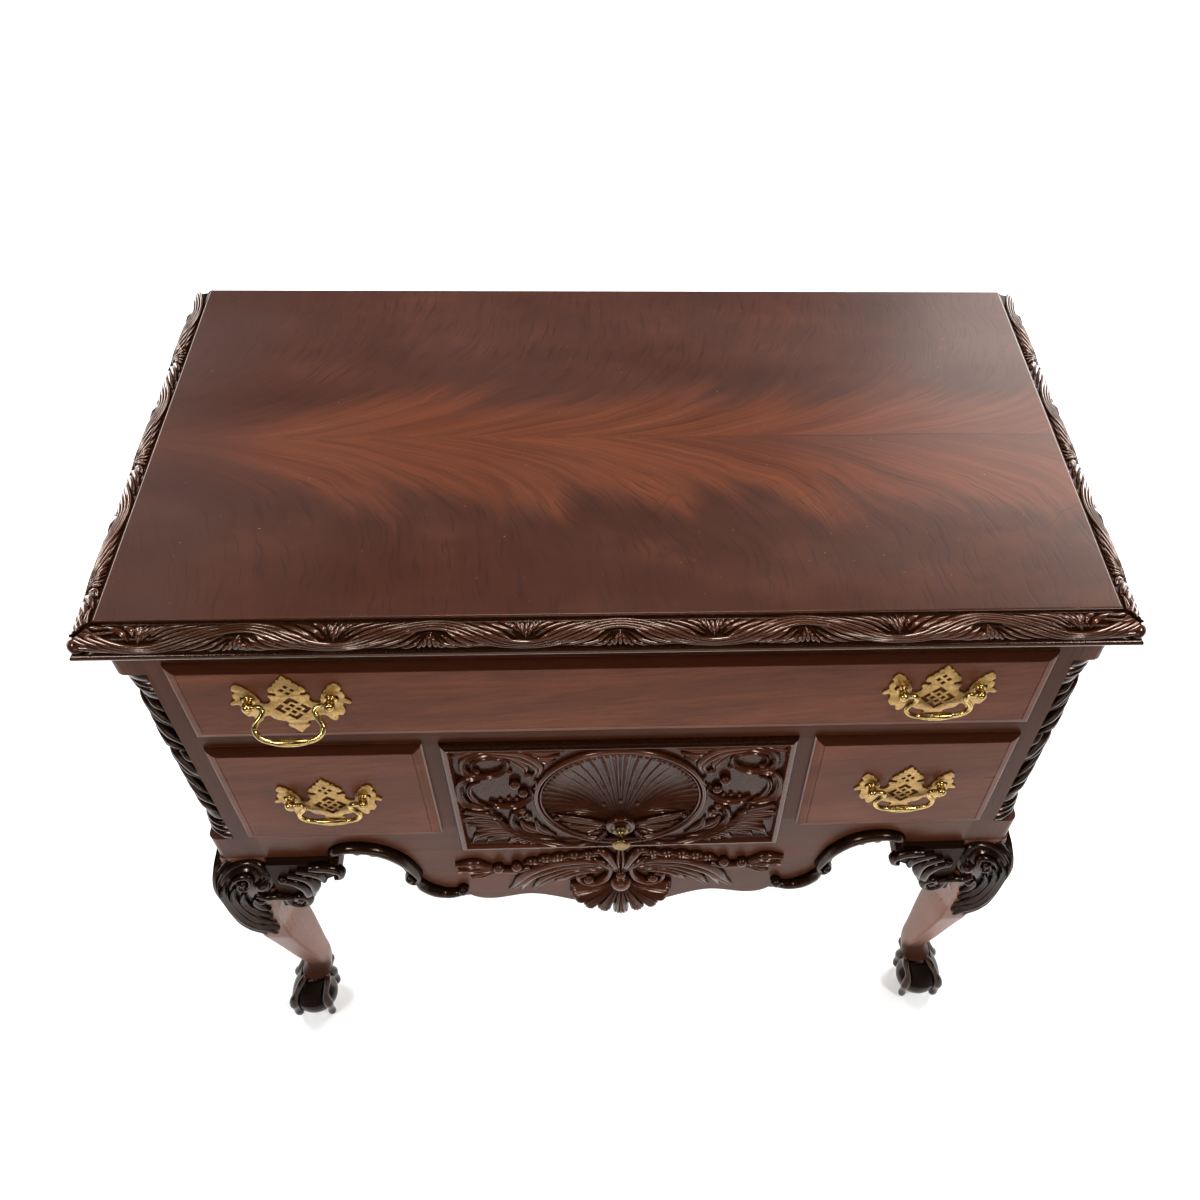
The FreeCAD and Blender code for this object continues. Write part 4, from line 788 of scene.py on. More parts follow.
def carved_front():
    """Shell drawer front. The ground is the lip, a narrow frame and a sunk field with a deeper dish. The shell is
    a fan from the hub to the rim: its depth follows a smooth curve along each ray and a row of round ribs across."""
    x0, x1, z0, z1 = CENTER_FRONT
    x, z = lip_lines(x0, x1, 110), lip_lines(z0, z1, 64)
    d = lip_distance(x, z)
    rise = np.interp(d, FRAME_STEPS, FRAME_RISE)
    from_middle = np.hypot(x[None], z[:, None] - DISH_Z)
    rise = np.where(from_middle < DISH_R + 1, np.minimum(rise, DISH_FLOOR), rise)
    # The lip's painted shade and highlight, then painted shade rising over the sunk field.
    painted_shade_and_highlight = np.where(d < 7.4, np.maximum(lip_shade_and_highlight(x, z), -0.3), np.interp(d, [7.4, 10.5], [0.0, 0.55]))
    piece = Piece("center_drawer_front_carving")
    front = on_front(LIP_BACK)
    piece.add(front_rings(x, z, rise, painted_shade_and_highlight, BLOCK_BACK - LIP_BACK), front)
    phi = np.linspace(-RAY_SPAN, RAY_SPAN, RAYS * 14 + 1)[:, None]
    t = np.linspace(0.06, 1, 30)[None]
    rib = 1 - np.abs(np.sin(np.pi * RAYS * (phi + RAY_SPAN) / (2 * RAY_SPAN))) ** 0.6
    lift = DISH_Z - HUB_Z
    reach = lift * np.cos(phi) + np.sqrt(DISH_R**2 - (lift * np.sin(phi)) ** 2)
    reach = reach - 2.6 + 1.8 * rib
    deep = np.interp(t, np.linspace(0, 1, 9), [1.0, -2.0, -5.0, -6.6, -7.0, -5.8, -3.2, 0.4, 3.6])
    ribs = (0.3 + 3.4 * t**0.8) * (rib - 1)
    vein = 0.25 * t * np.cos(4 * np.pi * RAYS * (phi + RAY_SPAN) / (2 * RAY_SPAN))
    # The fourth value is painted shade, deep in the grooves between the ribs of the shell.
    face = np.stack([reach * t * np.sin(phi), HUB_Z + reach * t * np.cos(phi), deep + ribs + vein,
                     0.66 * np.clip(1 - 1.4 * rib, 0, 1) + 0 * t], 2)
    back = face[:, ::-1] * np.array([1, 1, 0, 0]) + np.array([0, 0, -12.6, 0])
    piece.add(np.concatenate([face, back[:, [0, -1]]], 1), front)
    ring = np.linspace(0, 2 * np.pi, 120, endpoint=False)[:, None]
    for radius, wide, high, base in RIMS:
        r = radius + ROUND[None, :, 0] * wide / 2
        h = base + ROUND[None, :, 1] * high + 0 * ring
        foot = np.clip(1 - ROUND[None, :, 1], 0, 1) + 0 * ring
        band = np.stack([r * np.cos(ring), DISH_Z + r * np.sin(ring), h, foot], 2)
        piece.add(band, front, True)
    for angle in np.linspace(-BEAD_SPAN, BEAD_SPAN, BEADS):
        piece.add(ball(BEAD_R * math.sin(angle), DISH_Z + BEAD_R * math.cos(angle), 2.3, 3.4, 0.4, 7, 10), front)
    for points, wide, high, section in DRAWER_STROKES:
        fuller, taller = [FULLER * w for w in wide], [TALLER * h for h in high]
        piece.both(stroke(points, fuller, taller, section, 12 + 4 * len(points), FIELD), front)
    for u, v, r in DRAWER_BALLS:
        piece.both(ball(u, v, r, FIELD), front)
    for points, wide, high, section in PETAL_STROKES:
        piece.both(stroke(points, wide, high, section, 26, -1.6), front)
    piece.both(ball(-66, 497, 2.8, 3.4), front)
    for u, v in ((-17, 518), (17, 518), (0, 523)):
        piece.add(ball(u, v, 2.5, 1.2), front)
    # The third column is painted shade in the hub's grooves and at its foot.
    r, h, painted_shade_level = (column[:, None] for column in HUB_TURNING.T)
    angle = np.linspace(0, 2 * np.pi, 36, endpoint=False)[None]
    disc = np.stack([r * np.cos(angle), HUB_Z + r * np.sin(angle), h + 0 * angle, painted_shade_level + 0 * angle], 2)
    piece.add(disc, front)
    piece.finish("center_drawer", "mahogany_carved", carved_wood, ["center_drawer_front"], 60)


carved_front()


# Apron shell, leaves and scrolls.

# Lobes of the shell: degrees from straight down, length and half width; all start at one height.
SHELL_Z = 352
SHELL_LOBES = [(0, 73, 9.7), (18.6, 68, 8.7), (36.4, 68, 8.5), (54.4, 65, 8.2), (71.0, 61, 7.8), (86.0, 58, 7.0)]
LOBE_RUN = np.linspace(0, 1, 46)
LOBE_WIDE = np.minimum(np.interp(LOBE_RUN, [0, 0.25, 0.5, 0.75, 0.88], [0.4, 0.75, 1.2, 1.75, 2.0]),
                       2 * np.sqrt(np.clip(1 - np.clip((LOBE_RUN - 0.87) / 0.13, 0, 1) ** 2, 0.01, 1)))
LOBE_HIGH = np.interp(LOBE_RUN, [0, 0.3, 0.6, 0.87, 0.94, 1], [5, 8.5, 11, 11.5, 9.5, 4])
# Left half of the leaves and scrolls.
APRON_STROKES = [
    ([(-16, 394), (-40, 402), (-72, 396), (-99, 376), (-125, 338)], [8, 20, 24, 20, 6], [7, 10, 10, 8.5, 4], LEAF),
    ([(-20, 387), (-44, 391), (-67, 381), (-85, 364), (-98, 340)], [6, 14, 16, 14, 6], [7, 9.5, 9.5, 8, 4], LEAF),
    ([(-24, 380), (-43, 381), (-60, 371), (-73, 356)], [5, 10, 10, 5], [6, 8, 7.5, 4], ROUND),
    ([(-90, 380), (-104, 362), (-112, 341)], [4, 10, 5], [6, 7.5, 4], ROUND),
    ([(-15, 400), (-11, 385), (-16, 367), (-31, 355), (-45, 360), (-47, 371), (-38, 376)], [7, 9, 9, 8, 7, 6],
     [8, 9.5, 10, 9.5, 8.5, 8], ROUND),
    ([(-24, 411), (-35, 418), (-46, 414)], [5, 11, 3], [4, 8.5, 5], LEAF),
    ([(-38, 409), (-51, 416), (-62, 411)], [5, 11, 3], [4, 8.5, 5], LEAF),
    ([(-54, 408), (-67, 414), (-78, 408)], [5, 11, 3], [4, 8.5, 5], LEAF),
    ([(-70, 405), (-83, 410), (-93, 404)], [5, 11, 3], [4, 8.5, 5], LEAF),
    ([(-85, 400), (-97, 405), (-107, 399)], [5, 10, 3], [7, 8, 6], LEAF),
    ([(-100, 392), (-116, 387), (-140, 389), (-150, 393)], [6, 9, 8, 6], [7, 8, 7.5, 6], ROUND),
    ([(-142, 394), (-160, 403), (-180, 398)], [6, 13, 8], [7, 9, 6], LEAF),
    ([(-142, 389), (-160, 390), (-179, 386)], [6, 13, 8], [7, 9, 6], LEAF),
    ([(-140, 385), (-154, 378), (-165, 372)], [6, 12, 7], [7, 8, 6], LEAF),
    ([(-3, 380), (-9, 402), (-20, 422), (-30, 420)], [6, 11, 12, 6], [8, 10, 9, 5], ROUND),
    ([(-5, 382), (-18, 398), (-30, 404)], [6, 10, 6], [7, 9, 5], ROUND),
]
APRON_BALLS = [(-134, 395, 6.5), (-114, 398, 6.5), (-36, 365, 6.5)]


def apron_shell():
    """Carved shell, leaves and palmette on the apron: round-ended lobes fan down from the boss, leaf strokes and
    scrolls lie to each side, and balls sit in the eyes of the scrolls."""
    piece = Piece("apron_shell_carving")
    front = on_front(CASE_FRONT)
    for turn, reach, fat in SHELL_LOBES:
        a = math.radians(turn)
        line = [(-math.sin(a) * r, SHELL_Z - math.cos(a) * r) for r in (8, 0.5 * reach, reach)]
        lobe = stroke(line, LOBE_WIDE * fat, LOBE_HIGH, SCALLOP, 46)
        piece.add(lobe, front)
        if turn:
            piece.add(flipped(lobe), front)
    for points, wide, high, section in APRON_STROKES:
        piece.both(stroke(points, wide, high, section, 24), front)
    for u, v, r in APRON_BALLS:
        piece.both(ball(u, v, r, 2.0), front)
    piece.add(stroke([(0, 380), (0, 404), (0, 429)], [7, 13, 9], [9, 11, 6], LEAF), front)
    piece.add(ball(0, 360, 13.0, 1.0, 0.3, 13, 24), front)
    piece.add(ball(0, 376, 6.5, 3.0, 0.45), front)
    piece.finish("case", "mahogany_carved", carved_wood, ["apron_shell"], 60)


apron_shell()

ARCH_SCROLL = [(-309, 421.3), (-308, 429), (-302, 437), (-288, 443), (-268, 441), (-250, 431), (-235, 413),
               (-226, 390), (-223, 376), (-229, 366), (-236, 372), (-232, 380)]
ARCH_TAIL = [(-226, 368), (-221, 355), (-212, 345), (-198, 337), (-183, 338), (-176, 345), (-180, 351)]
ARCH_FRINGE = [
    [(-276, 436), (-264, 426), (-256, 418)],
    [(-262, 432), (-250, 418), (-246, 406)],
    [(-252, 424), (-242, 408), (-240, 396)],
    [(-290, 438), (-280, 430), (-272, 427)],
]
ARCH_BALLS = [(-233, 374, 5.0, 3.0), (-178, 345, 6.0, 3.0)]


def apron_scroll(word, hand):
    """Scroll along an arch: a round bead with a scooped back carried along a C, a second one along the tail below
    it, each ending in a small volute, and a fringe of leaves under the crown."""
    piece = Piece("apron_scroll_carving_" + word)
    front = on_front(CASE_FRONT)
    turn = lambda rings: flipped(rings) if hand > 0 else rings
    crown = stroke(ARCH_SCROLL, [9, 13, 15, 15, 14, 12, 8, 6], [7, 10, 11, 11, 11, 10, 9, 8], ROUND, 60)
    tail = stroke(ARCH_TAIL, [10, 14, 15, 13, 11, 9], [9, 10.5, 11, 10, 9, 8], ROUND, 36)
    piece.add(turn(crown), front).add(turn(tail), front)
    for line in ARCH_FRINGE:
        piece.add(turn(stroke(line, [3, 6, 1.5], [5, 6, 2], LEAF, 14)), front)
    for spot in ARCH_BALLS:
        piece.add(turn(ball(*spot)), front)
    piece.finish("case", "mahogany_carved", dark_wood, ["apron_scroll_" + word], 60)


for word, hand in HANDS:
    apron_scroll(word, hand)


# Legs.

# Leg: height, outer faces from the case corner, width and radius of the corners.
LEG = np.array([
    (20, -12.4, 58.8, 27), (30, -12.8, 59.6, 27), (41, -10, 54, 24), (53, -5, 46, 20), (66, 2.6, 41, 17),
    (80, 10.5, 36.6, 14), (97, 16.2, 33.6, 13), (115, 17, 33.4, 12), (140, 12.8, 36.8, 11), (200, 3.5, 45.5, 10),
    (250, -5, 52.5, 9), (295, -13.2, 59.8, 9), (340, -15.9, 64.6, 9), (375, -16.2, 65.6, 8), (402, -10, 59.5, 6),
    (421, -2, 51.5, 5),
], float)
LEG_FINE = path_through(LEG, 90)
# Post: its width, rounded corner and notch for the column; heights of the case, the column and the post.
POST, POST_ROUND, NOTCH, CASE_LOW = 50.0, 9.0, 26.0, 421.0
COLUMN_LOW, COLUMN_HIGH, POST_TOP = 461.0, 737.0, 775.0
# Ball of a foot: axis from the case corner, radius, middle and painted shade; then the heights of ankle and web.
BALL_AXIS, BALL_R, BALL_Z, BALL_PAINTED_SHADE = 17.0, 29.0, 26.5, 0.5
ANKLE, WEB_LOW = 78.0, 37.0
# Talon: height, middle line of the foot from the case corner, distance from that line, half width.
TALON = [(82, 30.2, 16.0, 2.2), (77, 28.2, 20.6, 4.4), (71, 25.6, 23.6, 5.2), (64, 22.4, 25.4, 4.6),
         (56, 19.2, 26.8, 4.6), (47, 17.2, 29.2, 6.2), (38, 17, 31.0, 6.8), (30, 17, 31.4, 5.4), (22, 17, 31.4, 4.8),
         (14, 17, 31.0, 5.6), (8, 17, 30, 5.4), (2.8, 17, 28.4, 2.8)]


def corner_place(hand, rear):
    """(a, b, z) from a corner of the case, a and b running inward, to x, y and z."""
    def place(p):
        y = CASE_REAR - p[..., 1] if rear else CASE_FRONT + p[..., 1]
        return np.stack([hand * (CASE_HALF - p[..., 0]), y, p[..., 2]], -1)
    return place


def leg_face(p):
    """Wraps u round the leg from its outer corner, u > 0 over the front and u < 0 over the side, at height v,
    standing h out of the surface; gives (a, b, z)."""
    u, v, h = p[..., 0], p[..., 1], p[..., 2]
    q, r = (np.interp(v, LEG_FINE[:, 0], LEG_FINE[:, k]) for k in (1, 3))
    arc = r * np.pi / 4
    turn = np.pi / 4 * (1 + np.clip(u / arc, -1, 1))
    past = np.maximum(np.abs(u) - arc, 0)
    a = q + r - (r + h) * np.cos(turn) + np.where(u > 0, past, 0)
    b = q + r - (r + h) * np.sin(turn) + np.where(u < 0, past, 0)
    return np.stack([a, b, v], -1)


def leg_rings(sink, low, high):
    """Cabriole leg between two heights: a rounded square at each. The two side arrises are crisp below the knee and
    set in towards the outer corner there. Carved knees are cut back from the outer faces by sink, which fades out at
    the foot of the leaf and at the top. Painted shade darkens the outer faces at the ankle."""
    inside = (LEG_FINE[:, 0] >= low) & (LEG_FINE[:, 0] <= high)
    z, q, s, r = LEG_FINE[inside].T[:, :, None]
    cut = sink * np.interp(z, [232, 262, 405, 421], [0, 1, 1, 0.3])
    q, s = q + cut, s - cut
    crisp = np.interp(z, [90, 110, 320, 345], [1.0, 0.28, 0.28, 1.0])
    proud = np.interp(z, [100, 130, 290, 330], [0, 0.9, 0.9, 0])
    inset = np.interp(z, [95, 125, 200, 260, 300, 335], [0, 4, 12, 16, 12, 0])
    theta = np.linspace(0, np.pi / 2, 8)[None]
    rows = []
    for k, (ea, eb) in enumerate([(0, 0), (1, 0), (1, 1), (0, 1)]):
        rk = r * (crisp if ea != eb else 1.0)
        ca = np.where(ea, q + s - rk - (0 if eb else inset), q + rk)
        cb = np.where(eb, q + s - rk - (0 if ea else inset), q + rk)
        angle = np.pi * (1 + 0.5 * k) + theta
        grow = rk + (proud if ea != eb else 0.0)
        # Painted shade on the outer faces at the ankle, which face up.
        painted_shade_level = np.interp(z, [76, 110, 130], [0.8, 0.8, 0.0]) * (k != 2)
        rows.append(np.stack([ca + grow * np.cos(angle), cb + grow * np.sin(angle), z + 0 * theta,
                              painted_shade_level + 0 * theta], 2))
    return np.concatenate(rows, 1)


def talon(ea, eb):
    """Claw: an oval carried along its line over the ball, in the plane of a diagonal, swelling at the knuckles."""
    z, line, far, wide = path_through(TALON, 44).T
    e = np.array([ea, eb, 0]) / math.sqrt(2)
    across = np.array([-eb, ea, 0]) / math.sqrt(2)
    middle = line[:, None] * np.array([1, 1, 0]) + far[:, None] * e + z[:, None] * np.array([0, 0, 1])
    t = np.gradient(middle, axis=0)
    t /= np.linalg.norm(t, axis=1)[:, None]
    out = np.cross(t, across)
    theta = np.linspace(0, 2 * np.pi, 14, endpoint=False)
    fat = wide[:, None, None]
    ring = middle[:, None] + across * (0.92 * fat * np.cos(theta)[None, :, None])
    ring = ring + out[:, None] * (fat * np.sin(theta)[None, :, None])
    return np.concatenate([ring, np.zeros(ring.shape[:2] + (1,))], 2)


def foot_ball():
    """Ball under the claws, cut flat where it stands, with painted shade darkening all of it."""
    z = np.concatenate([[0.0], np.linspace(0.01, BALL_Z + BALL_R - 2.0, 18)])[:, None]
    theta = np.linspace(0, 2 * np.pi, 36, endpoint=False)[None]
    r = np.sqrt(np.clip(BALL_R**2 - (z - BALL_Z) ** 2, 1, None))
    return np.stack([BALL_AXIS + r * np.cos(theta), BALL_AXIS + r * np.sin(theta), z + 0 * theta,
                     0 * z + BALL_PAINTED_SHADE + 0 * theta], 2)


def post_rings(low, high, notched):
    """Corner post between two heights: square with a rounded outer corner, or cut away for the quarter column."""
    turn = np.linspace(0, np.pi / 2, 7)
    round_corner = POST_ROUND - POST_ROUND * np.stack([np.cos(turn), np.sin(turn)], 1)
    corner = np.array([(0, NOTCH), (NOTCH, NOTCH), (NOTCH, 0)]) if notched else round_corner
    ring = np.vstack([corner, [(POST, 0), (POST, POST), (0, POST)]])
    return np.stack([np.column_stack([ring, np.full(len(ring), z), np.zeros(len(ring))]) for z in (low, high)])


# Knee carving on one face: (points from the outer corner, widths, heights, section).
KNEE_STROKES = [
    ([(12, 417), (3, 398), (0, 372), (0, 345), (2, 312), (7, 282), (14, 260), (22, 243)], [8, 10, 10, 10, 9, 5],
     [6, 7, 7.2, 7.4, 8.6, 6], SCOOP),
    ([(18, 392), (10, 372), (8, 350), (9, 322), (14, 296), (22, 274), (30, 258)], [7, 9.5, 9.5, 9, 9, 5],
     [6, 7.2, 7.2, 7.4, 8.4, 6], SCOOP),
    ([(22, 376), (17, 360), (16, 342), (19, 318), (26, 296), (36, 278)], [7, 9, 9, 9, 5], [6, 7.2, 7.2, 8, 6], SCOOP),
    ([(29, 364), (25, 350), (26, 334), (32, 316), (41, 302)], [6, 9, 9, 8, 5], [6, 7, 7, 7, 5], SCOOP),
    ([(38, 352), (35, 342), (38, 330), (46, 322)], [5, 8, 8, 4], [5, 6.5, 6, 4], ROUND),
    ([(2, 318), (5, 292), (11, 268), (18, 248)], [6, 9, 8, 5], [4, 7, 8, 6], ROUND),
    ([(1, 300), (3, 272), (8, 240)], [6, 9, 5], [4, 8.4, 6], ROUND),
    ([(9, 372), (10, 392), (20, 408), (36, 413), (50, 406), (56, 394), (50, 385)], [8, 13, 15, 14, 11, 7],
     [6, 7.2, 8.2, 8.4, 8, 7], SCOOP),
    ([(18, 382), (25, 394), (36, 395), (40, 385), (34, 376), (26, 378), (27, 386)], [6, 8, 8, 7, 5],
     [6, 7.2, 7.2, 7, 6.5], ROUND),
    ([(42, 360), (52, 355), (64, 356), (82, 352)], [7, 10, 10, 7], [6, 7.2, 7.2, 6], ROUND),
]
KNEE_BALLS = [(51, 378, 9.5), (31, 384, 4.5), (43, 346, 4.6)]
# Ground of the knee carving: its line and width, sunk below the outer faces.
KNEE_LINE = [(0, 419), (0, 385), (0, 340), (0, 300), (0, 268), (0, 242)]
KNEE_WIDE, KNEE_SINK = [118, 132, 122, 92, 62, 30], 6.4
# Bracket carving: points as (distance from the outer corner of the knee, height). The knee stands out of the case by
# BRACKET_IN and the bracket's face by BRACKET_PROUD.
BRACKET_IN, BRACKET_PROUD = 16.5, 10.0
BRACKET_STROKES = [
    ([(79, 391), (92, 385), (100, 368), (96, 348)], [9, 13, 13, 7], [6, 7, 7, 5], ROUND),
    ([(87, 404), (104, 396), (110, 378), (105, 358)], [9, 13, 13, 7], [6, 7, 7, 5], ROUND),
    ([(98, 413), (117, 405), (123, 388)], [9, 13, 7], [6, 7, 5], ROUND),
    ([(112, 417), (130, 416), (142, 409), (143, 399), (136, 396)], [9, 13, 12, 9, 7], [6, 7, 7, 7, 6], ROUND),
    ([(74, 353), (78, 341), (88, 336), (97, 342), (96, 353), (88, 356), (84, 349)], [8, 10, 10, 9, 8],
     [6.5, 7, 7, 7, 6.5], ROUND),
]
BRACKET_BALLS = [(79, 392, 5.5, -1.2), (89, 347, 6.5, -2.6)]


def leg(word, hand, rear):
    """One leg with its post and foot; the front pair has carved knees."""
    name = ("leg_rear_" if rear else "leg_front_") + word
    place = corner_place(hand, rear)
    shaft = Piece(name + "_shaft")
    shaft.add(leg_rings(0.0 if rear else KNEE_SINK, ANKLE - 2, CASE_LOW), place)
    shaft.finish("case", "mahogany_case", leg_wood, [name], 40)
    post = Piece(name + "_post")
    if rear:
        post.add(post_rings(CASE_LOW, POST_TOP, False), place)
    else:
        post.add(post_rings(CASE_LOW, COLUMN_LOW, False), place)
        post.add(post_rings(COLUMN_LOW, COLUMN_HIGH, True), place)
        post.add(post_rings(COLUMN_HIGH, POST_TOP, False), place)
    post.finish("case", "mahogany_case", post_wood, (), 40)
    foot = Piece(name + "_foot")
    foot.add(foot_ball(), place).add(leg_rings(0.0, WEB_LOW, ANKLE), place)
    for ea, eb in ((-1, -1), (1, -1), (-1, 1), (1, 1)):
        foot.add(talon(ea, eb), place)
    foot.finish("case", "mahogany_carved", dark_wood, (), 60)
    if rear:
        return
    knee = Piece(name + "_knee_carving")
    wrapped = lambda p: place(leg_face(p))
    knee.add(stroke(KNEE_LINE, KNEE_WIDE, [KNEE_SINK], KNEE_PLATE, 40, 0.8 - 2 * KNEE_SINK), wrapped)
    for points, wide, high, section in KNEE_STROKES:
        knee.both(stroke(points, wide, high, section, 30, -KNEE_SINK), wrapped)
    for u, v, r in KNEE_BALLS:
        knee.both(ball(u, v, r, 0.8 - 1.1 * r, 0.1), wrapped)
    flat_front = lambda p: place(np.stack([p[..., 0] - BRACKET_IN, -BRACKET_PROUD - p[..., 2], p[..., 1]], -1))
    flat_side = lambda p: place(np.stack([-BRACKET_PROUD - p[..., 2], p[..., 0] - BRACKET_IN, p[..., 1]], -1))
    for points, wide, high, section in BRACKET_STROKES:
        rings = stroke(points, wide, high, section, 26)
        knee.add(rings, flat_front).add(rings, flat_side)
    for face in (flat_front, flat_side):
        for spot in BRACKET_BALLS:
            knee.add(ball(*spot), face)
    knee.finish("case", "mahogany_carved", dark_wood, (), 60)


for word, hand in HANDS:
    leg(word, hand, False)
    leg(word, hand, True)


# Pierced plates of the pulls.

# Right half of the outline, from the peak to the lower tip, about the middle of the posts.
PLATE_EDGE = [
    (0, 33.5), (2.5, 30), (3.6, 27.6), (5.4, 27.8), (6.6, 25.2), (6.4, 23.2), (8.6, 23), (10.6, 20.4), (11.2, 18.4),
    (13.6, 17.6), (15.6, 14.4), (15.8, 11.4), (14, 9.8), (11.6, 9.4), (10, 7.6), (11.6, 5.6), (14.6, 6.4),
    (17.2, 6.6), (18, 3.6), (16.6, 0.8), (17.4, -2.6), (20.5, -5.4), (24, -5.6), (26.2, -3.4), (26, 0.4),
    (27.4, 3.4), (28.2, 7), (30.4, 9), (31.4, 12.6), (34, 14.6), (36, 18.4), (38.6, 19.6), (41, 21.8), (43.6, 20.6),
    (45.4, 17.8), (46.6, 14.4), (45, 12.2), (44.6, 10.4), (46.8, 8.4), (47.6, 4), (46.8, 0.4), (49.6, -1.8),
    (52, -5), (50.4, -7.4), (46.6, -6.4), (44.4, -7.4), (44, -12), (44.6, -16.6), (43, -21), (40.6, -24),
    (37.6, -23.4), (36.6, -25.4), (36, -29), (33.2, -31.6), (30, -29.6), (28, -25.6), (25, -23), (22, -23.4),
    (20.4, -26.6), (17, -29.4), (12.6, -30.6), (9.6, -32), (8.2, -34.4), (9.6, -36.6), (8.2, -40), (5, -42.6),
    (2.6, -46), (0, -49),
]
# Piercings: a diamond, a chevron, the eye of an end, and the middles of the lower and upper groups.
DIAMOND = np.array([(0, 2.8), (2.8, 0), (0, -2.8), (-2.8, 0)])
CHEVRON = np.array([(0, 16.2), (6.9, 9.3), (4.3, 6.7), (0, 10.9), (-4.3, 6.7), (-6.9, 9.3)])
END_EYE = np.array([(37.2, 3.4), (41.6, 4.6), (42.2, -0.4), (39.4, -2.2)])
LOWER_MIDDLE, UPPER_MIDDLE = (0, -13.3), (0, 13.2)
# Thickness of a plate and the easing of its edges.
SHEET, SHEET_EASE = 1.8, 0.35


def plate_loops():
    """Outline and piercings of one plate: a smooth line through the points and its mirror image; four chevrons and
    four diamonds in the middle, four diamonds above and an eye in each end."""
    half = path_through(PLATE_EDGE, 260)
    loops = [np.vstack([half, half[-2:0:-1] * (-1, 1)])]
    turn = np.array([(0, 1), (-1, 0)])
    for k in range(4):
        quarter = np.linalg.matrix_power(turn, k)
        loops.append(CHEVRON @ quarter + LOWER_MIDDLE)
        loops.append(DIAMOND + np.array([0, 4.7]) @ quarter + LOWER_MIDDLE)
        loops.append(DIAMOND * 0.92 + np.array([0, 4.6]) @ quarter + UPPER_MIDDLE)
    for hand in (-1, 1):
        loops.append(END_EYE * (hand, 1))
    return loops


def pierced_plates(name, body, node, places):
    """Cast plates: the loops filled as a flat curve with eased edges, made a mesh and set upright on the drawer."""
    sheet = bpy.data.curves.new(name, "CURVE")
    sheet.dimensions = "2D"
    sheet.fill_mode = "BOTH"
    sheet.extrude = (SHEET / 2 - SHEET_EASE) * MM
    sheet.bevel_depth = SHEET_EASE * MM
    sheet.bevel_resolution = 1
    sheet.offset = -SHEET_EASE * MM
    for place in places:
        for loop in plate_loops():
            spline = sheet.splines.new("POLY")
            spline.points.add(len(loop) - 1)
            flat = np.tile([0.0, 0.0, 0.0, 1.0], (len(loop), 1))
            flat[:, :2] = (loop + place) * MM
            spline.points.foreach_set("co", flat.ravel())
            spline.use_cyclic_u = True
    drawn = bpy.data.objects.new(name + "_flat", sheet)
    bpy.context.collection.objects.link(drawn)
    mesh = bpy.data.meshes.new_from_object(drawn.evaluated_get(bpy.context.evaluated_depsgraph_get()))
    bpy.data.objects.remove(drawn)
    joined = bmesh.new()
    joined.from_mesh(mesh)
    bmesh.ops.remove_doubles(joined, verts=joined.verts, dist=2e-6)
    joined.to_mesh(mesh)
    joined.free()
    points = np.empty(3 * len(mesh.vertices))
    mesh.vertices.foreach_get("co", points)
    x, z, out = points.reshape(-1, 3).T
    mesh.vertices.foreach_set("co", np.column_stack([x, (FACE_Y - SHEET / 2) * MM - out, z]).ravel())
    mesh.name = name
    mesh.update()
    mesh.polygons.foreach_set("use_smooth", np.ones(len(mesh.polygons), bool))
    mesh.set_sharp_from_angle(angle=math.radians(35))
    mesh.materials.clear()
    mesh.materials.append(plate_brass)
    obj = bpy.data.objects.new(name, mesh)
    bpy.context.collection.objects.link(obj)
    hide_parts(node)
    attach(obj, body)


pierced_plates("long_drawer_pierced_plates", "long_drawer", "long_drawer_plates",
               [(-PULL_X, LONG_PULL_Z), (PULL_X, LONG_PULL_Z)])
pierced_plates("left_drawer_pierced_plate", "left_drawer", "left_drawer_plate", [(-PULL_X, SIDE_PULL_Z)])
pierced_plates("right_drawer_pierced_plate", "right_drawer", "right_drawer_plate", [(PULL_X, SIDE_PULL_Z)])


# Bails of the pulls: left half of the line from the pin, about the middle of the pins.
BAIL_HALF = [(-33, 0), (-29, 0.1), (-25.4, -0.2), (-22.9, -2.2), (-22.4, -5.2), (-24.2, -9), (-27.2, -12.8),
             (-29.2, -17), (-28.8, -21.6), (-25.4, -26.2), (-19.4, -29.3), (-11, -30.8)]
BAIL_LOW, BAIL_WIRE, BAIL_GRIP, GRIP_HALF, PIN_Y, BAIL_RAISED = -31.1, 2.6, 4.0, 20.0, -226.3, 46.0


def bail(name, node, body, x, z, raised=0.0):
    """Bail: a round wire carried along a smooth line from pin to pin, fuller in its lowest part as an ellipse, and
    swung out about the pins."""
    half = np.array(BAIL_HALF, float)
    line = path_through(np.vstack([half, [(0, BAIL_LOW)], half[::-1] * (-1, 1)]), 130)
    t = np.gradient(line, axis=0)
    t /= np.linalg.norm(t, axis=1)[:, None]
    grip = BAIL_GRIP * np.sqrt(np.clip(1 - (line[:, 0] / GRIP_HALF) ** 2, 0, 1)) * (line[:, 1] < -24)
    fat = np.maximum(BAIL_WIRE, grip)[:, None]
    theta = np.linspace(0, 2 * np.pi, 16, endpoint=False)[None]
    rings = np.stack([line[:, :1] - t[:, 1:] * fat * np.cos(theta), line[:, 1:] + t[:, :1] * fat * np.cos(theta),
                      fat * np.sin(theta), 0 * fat * theta], 2)
    turn = math.radians(raised)
    swung = lambda p: np.stack([x + p[..., 0], PIN_Y + p[..., 1] * math.sin(turn) - p[..., 2] * math.cos(turn),
                                z + p[..., 1] * math.cos(turn) + p[..., 2] * math.sin(turn)], -1)
    Piece(name).add(rings, swung).finish(body, "brass", brass, [node], 60)


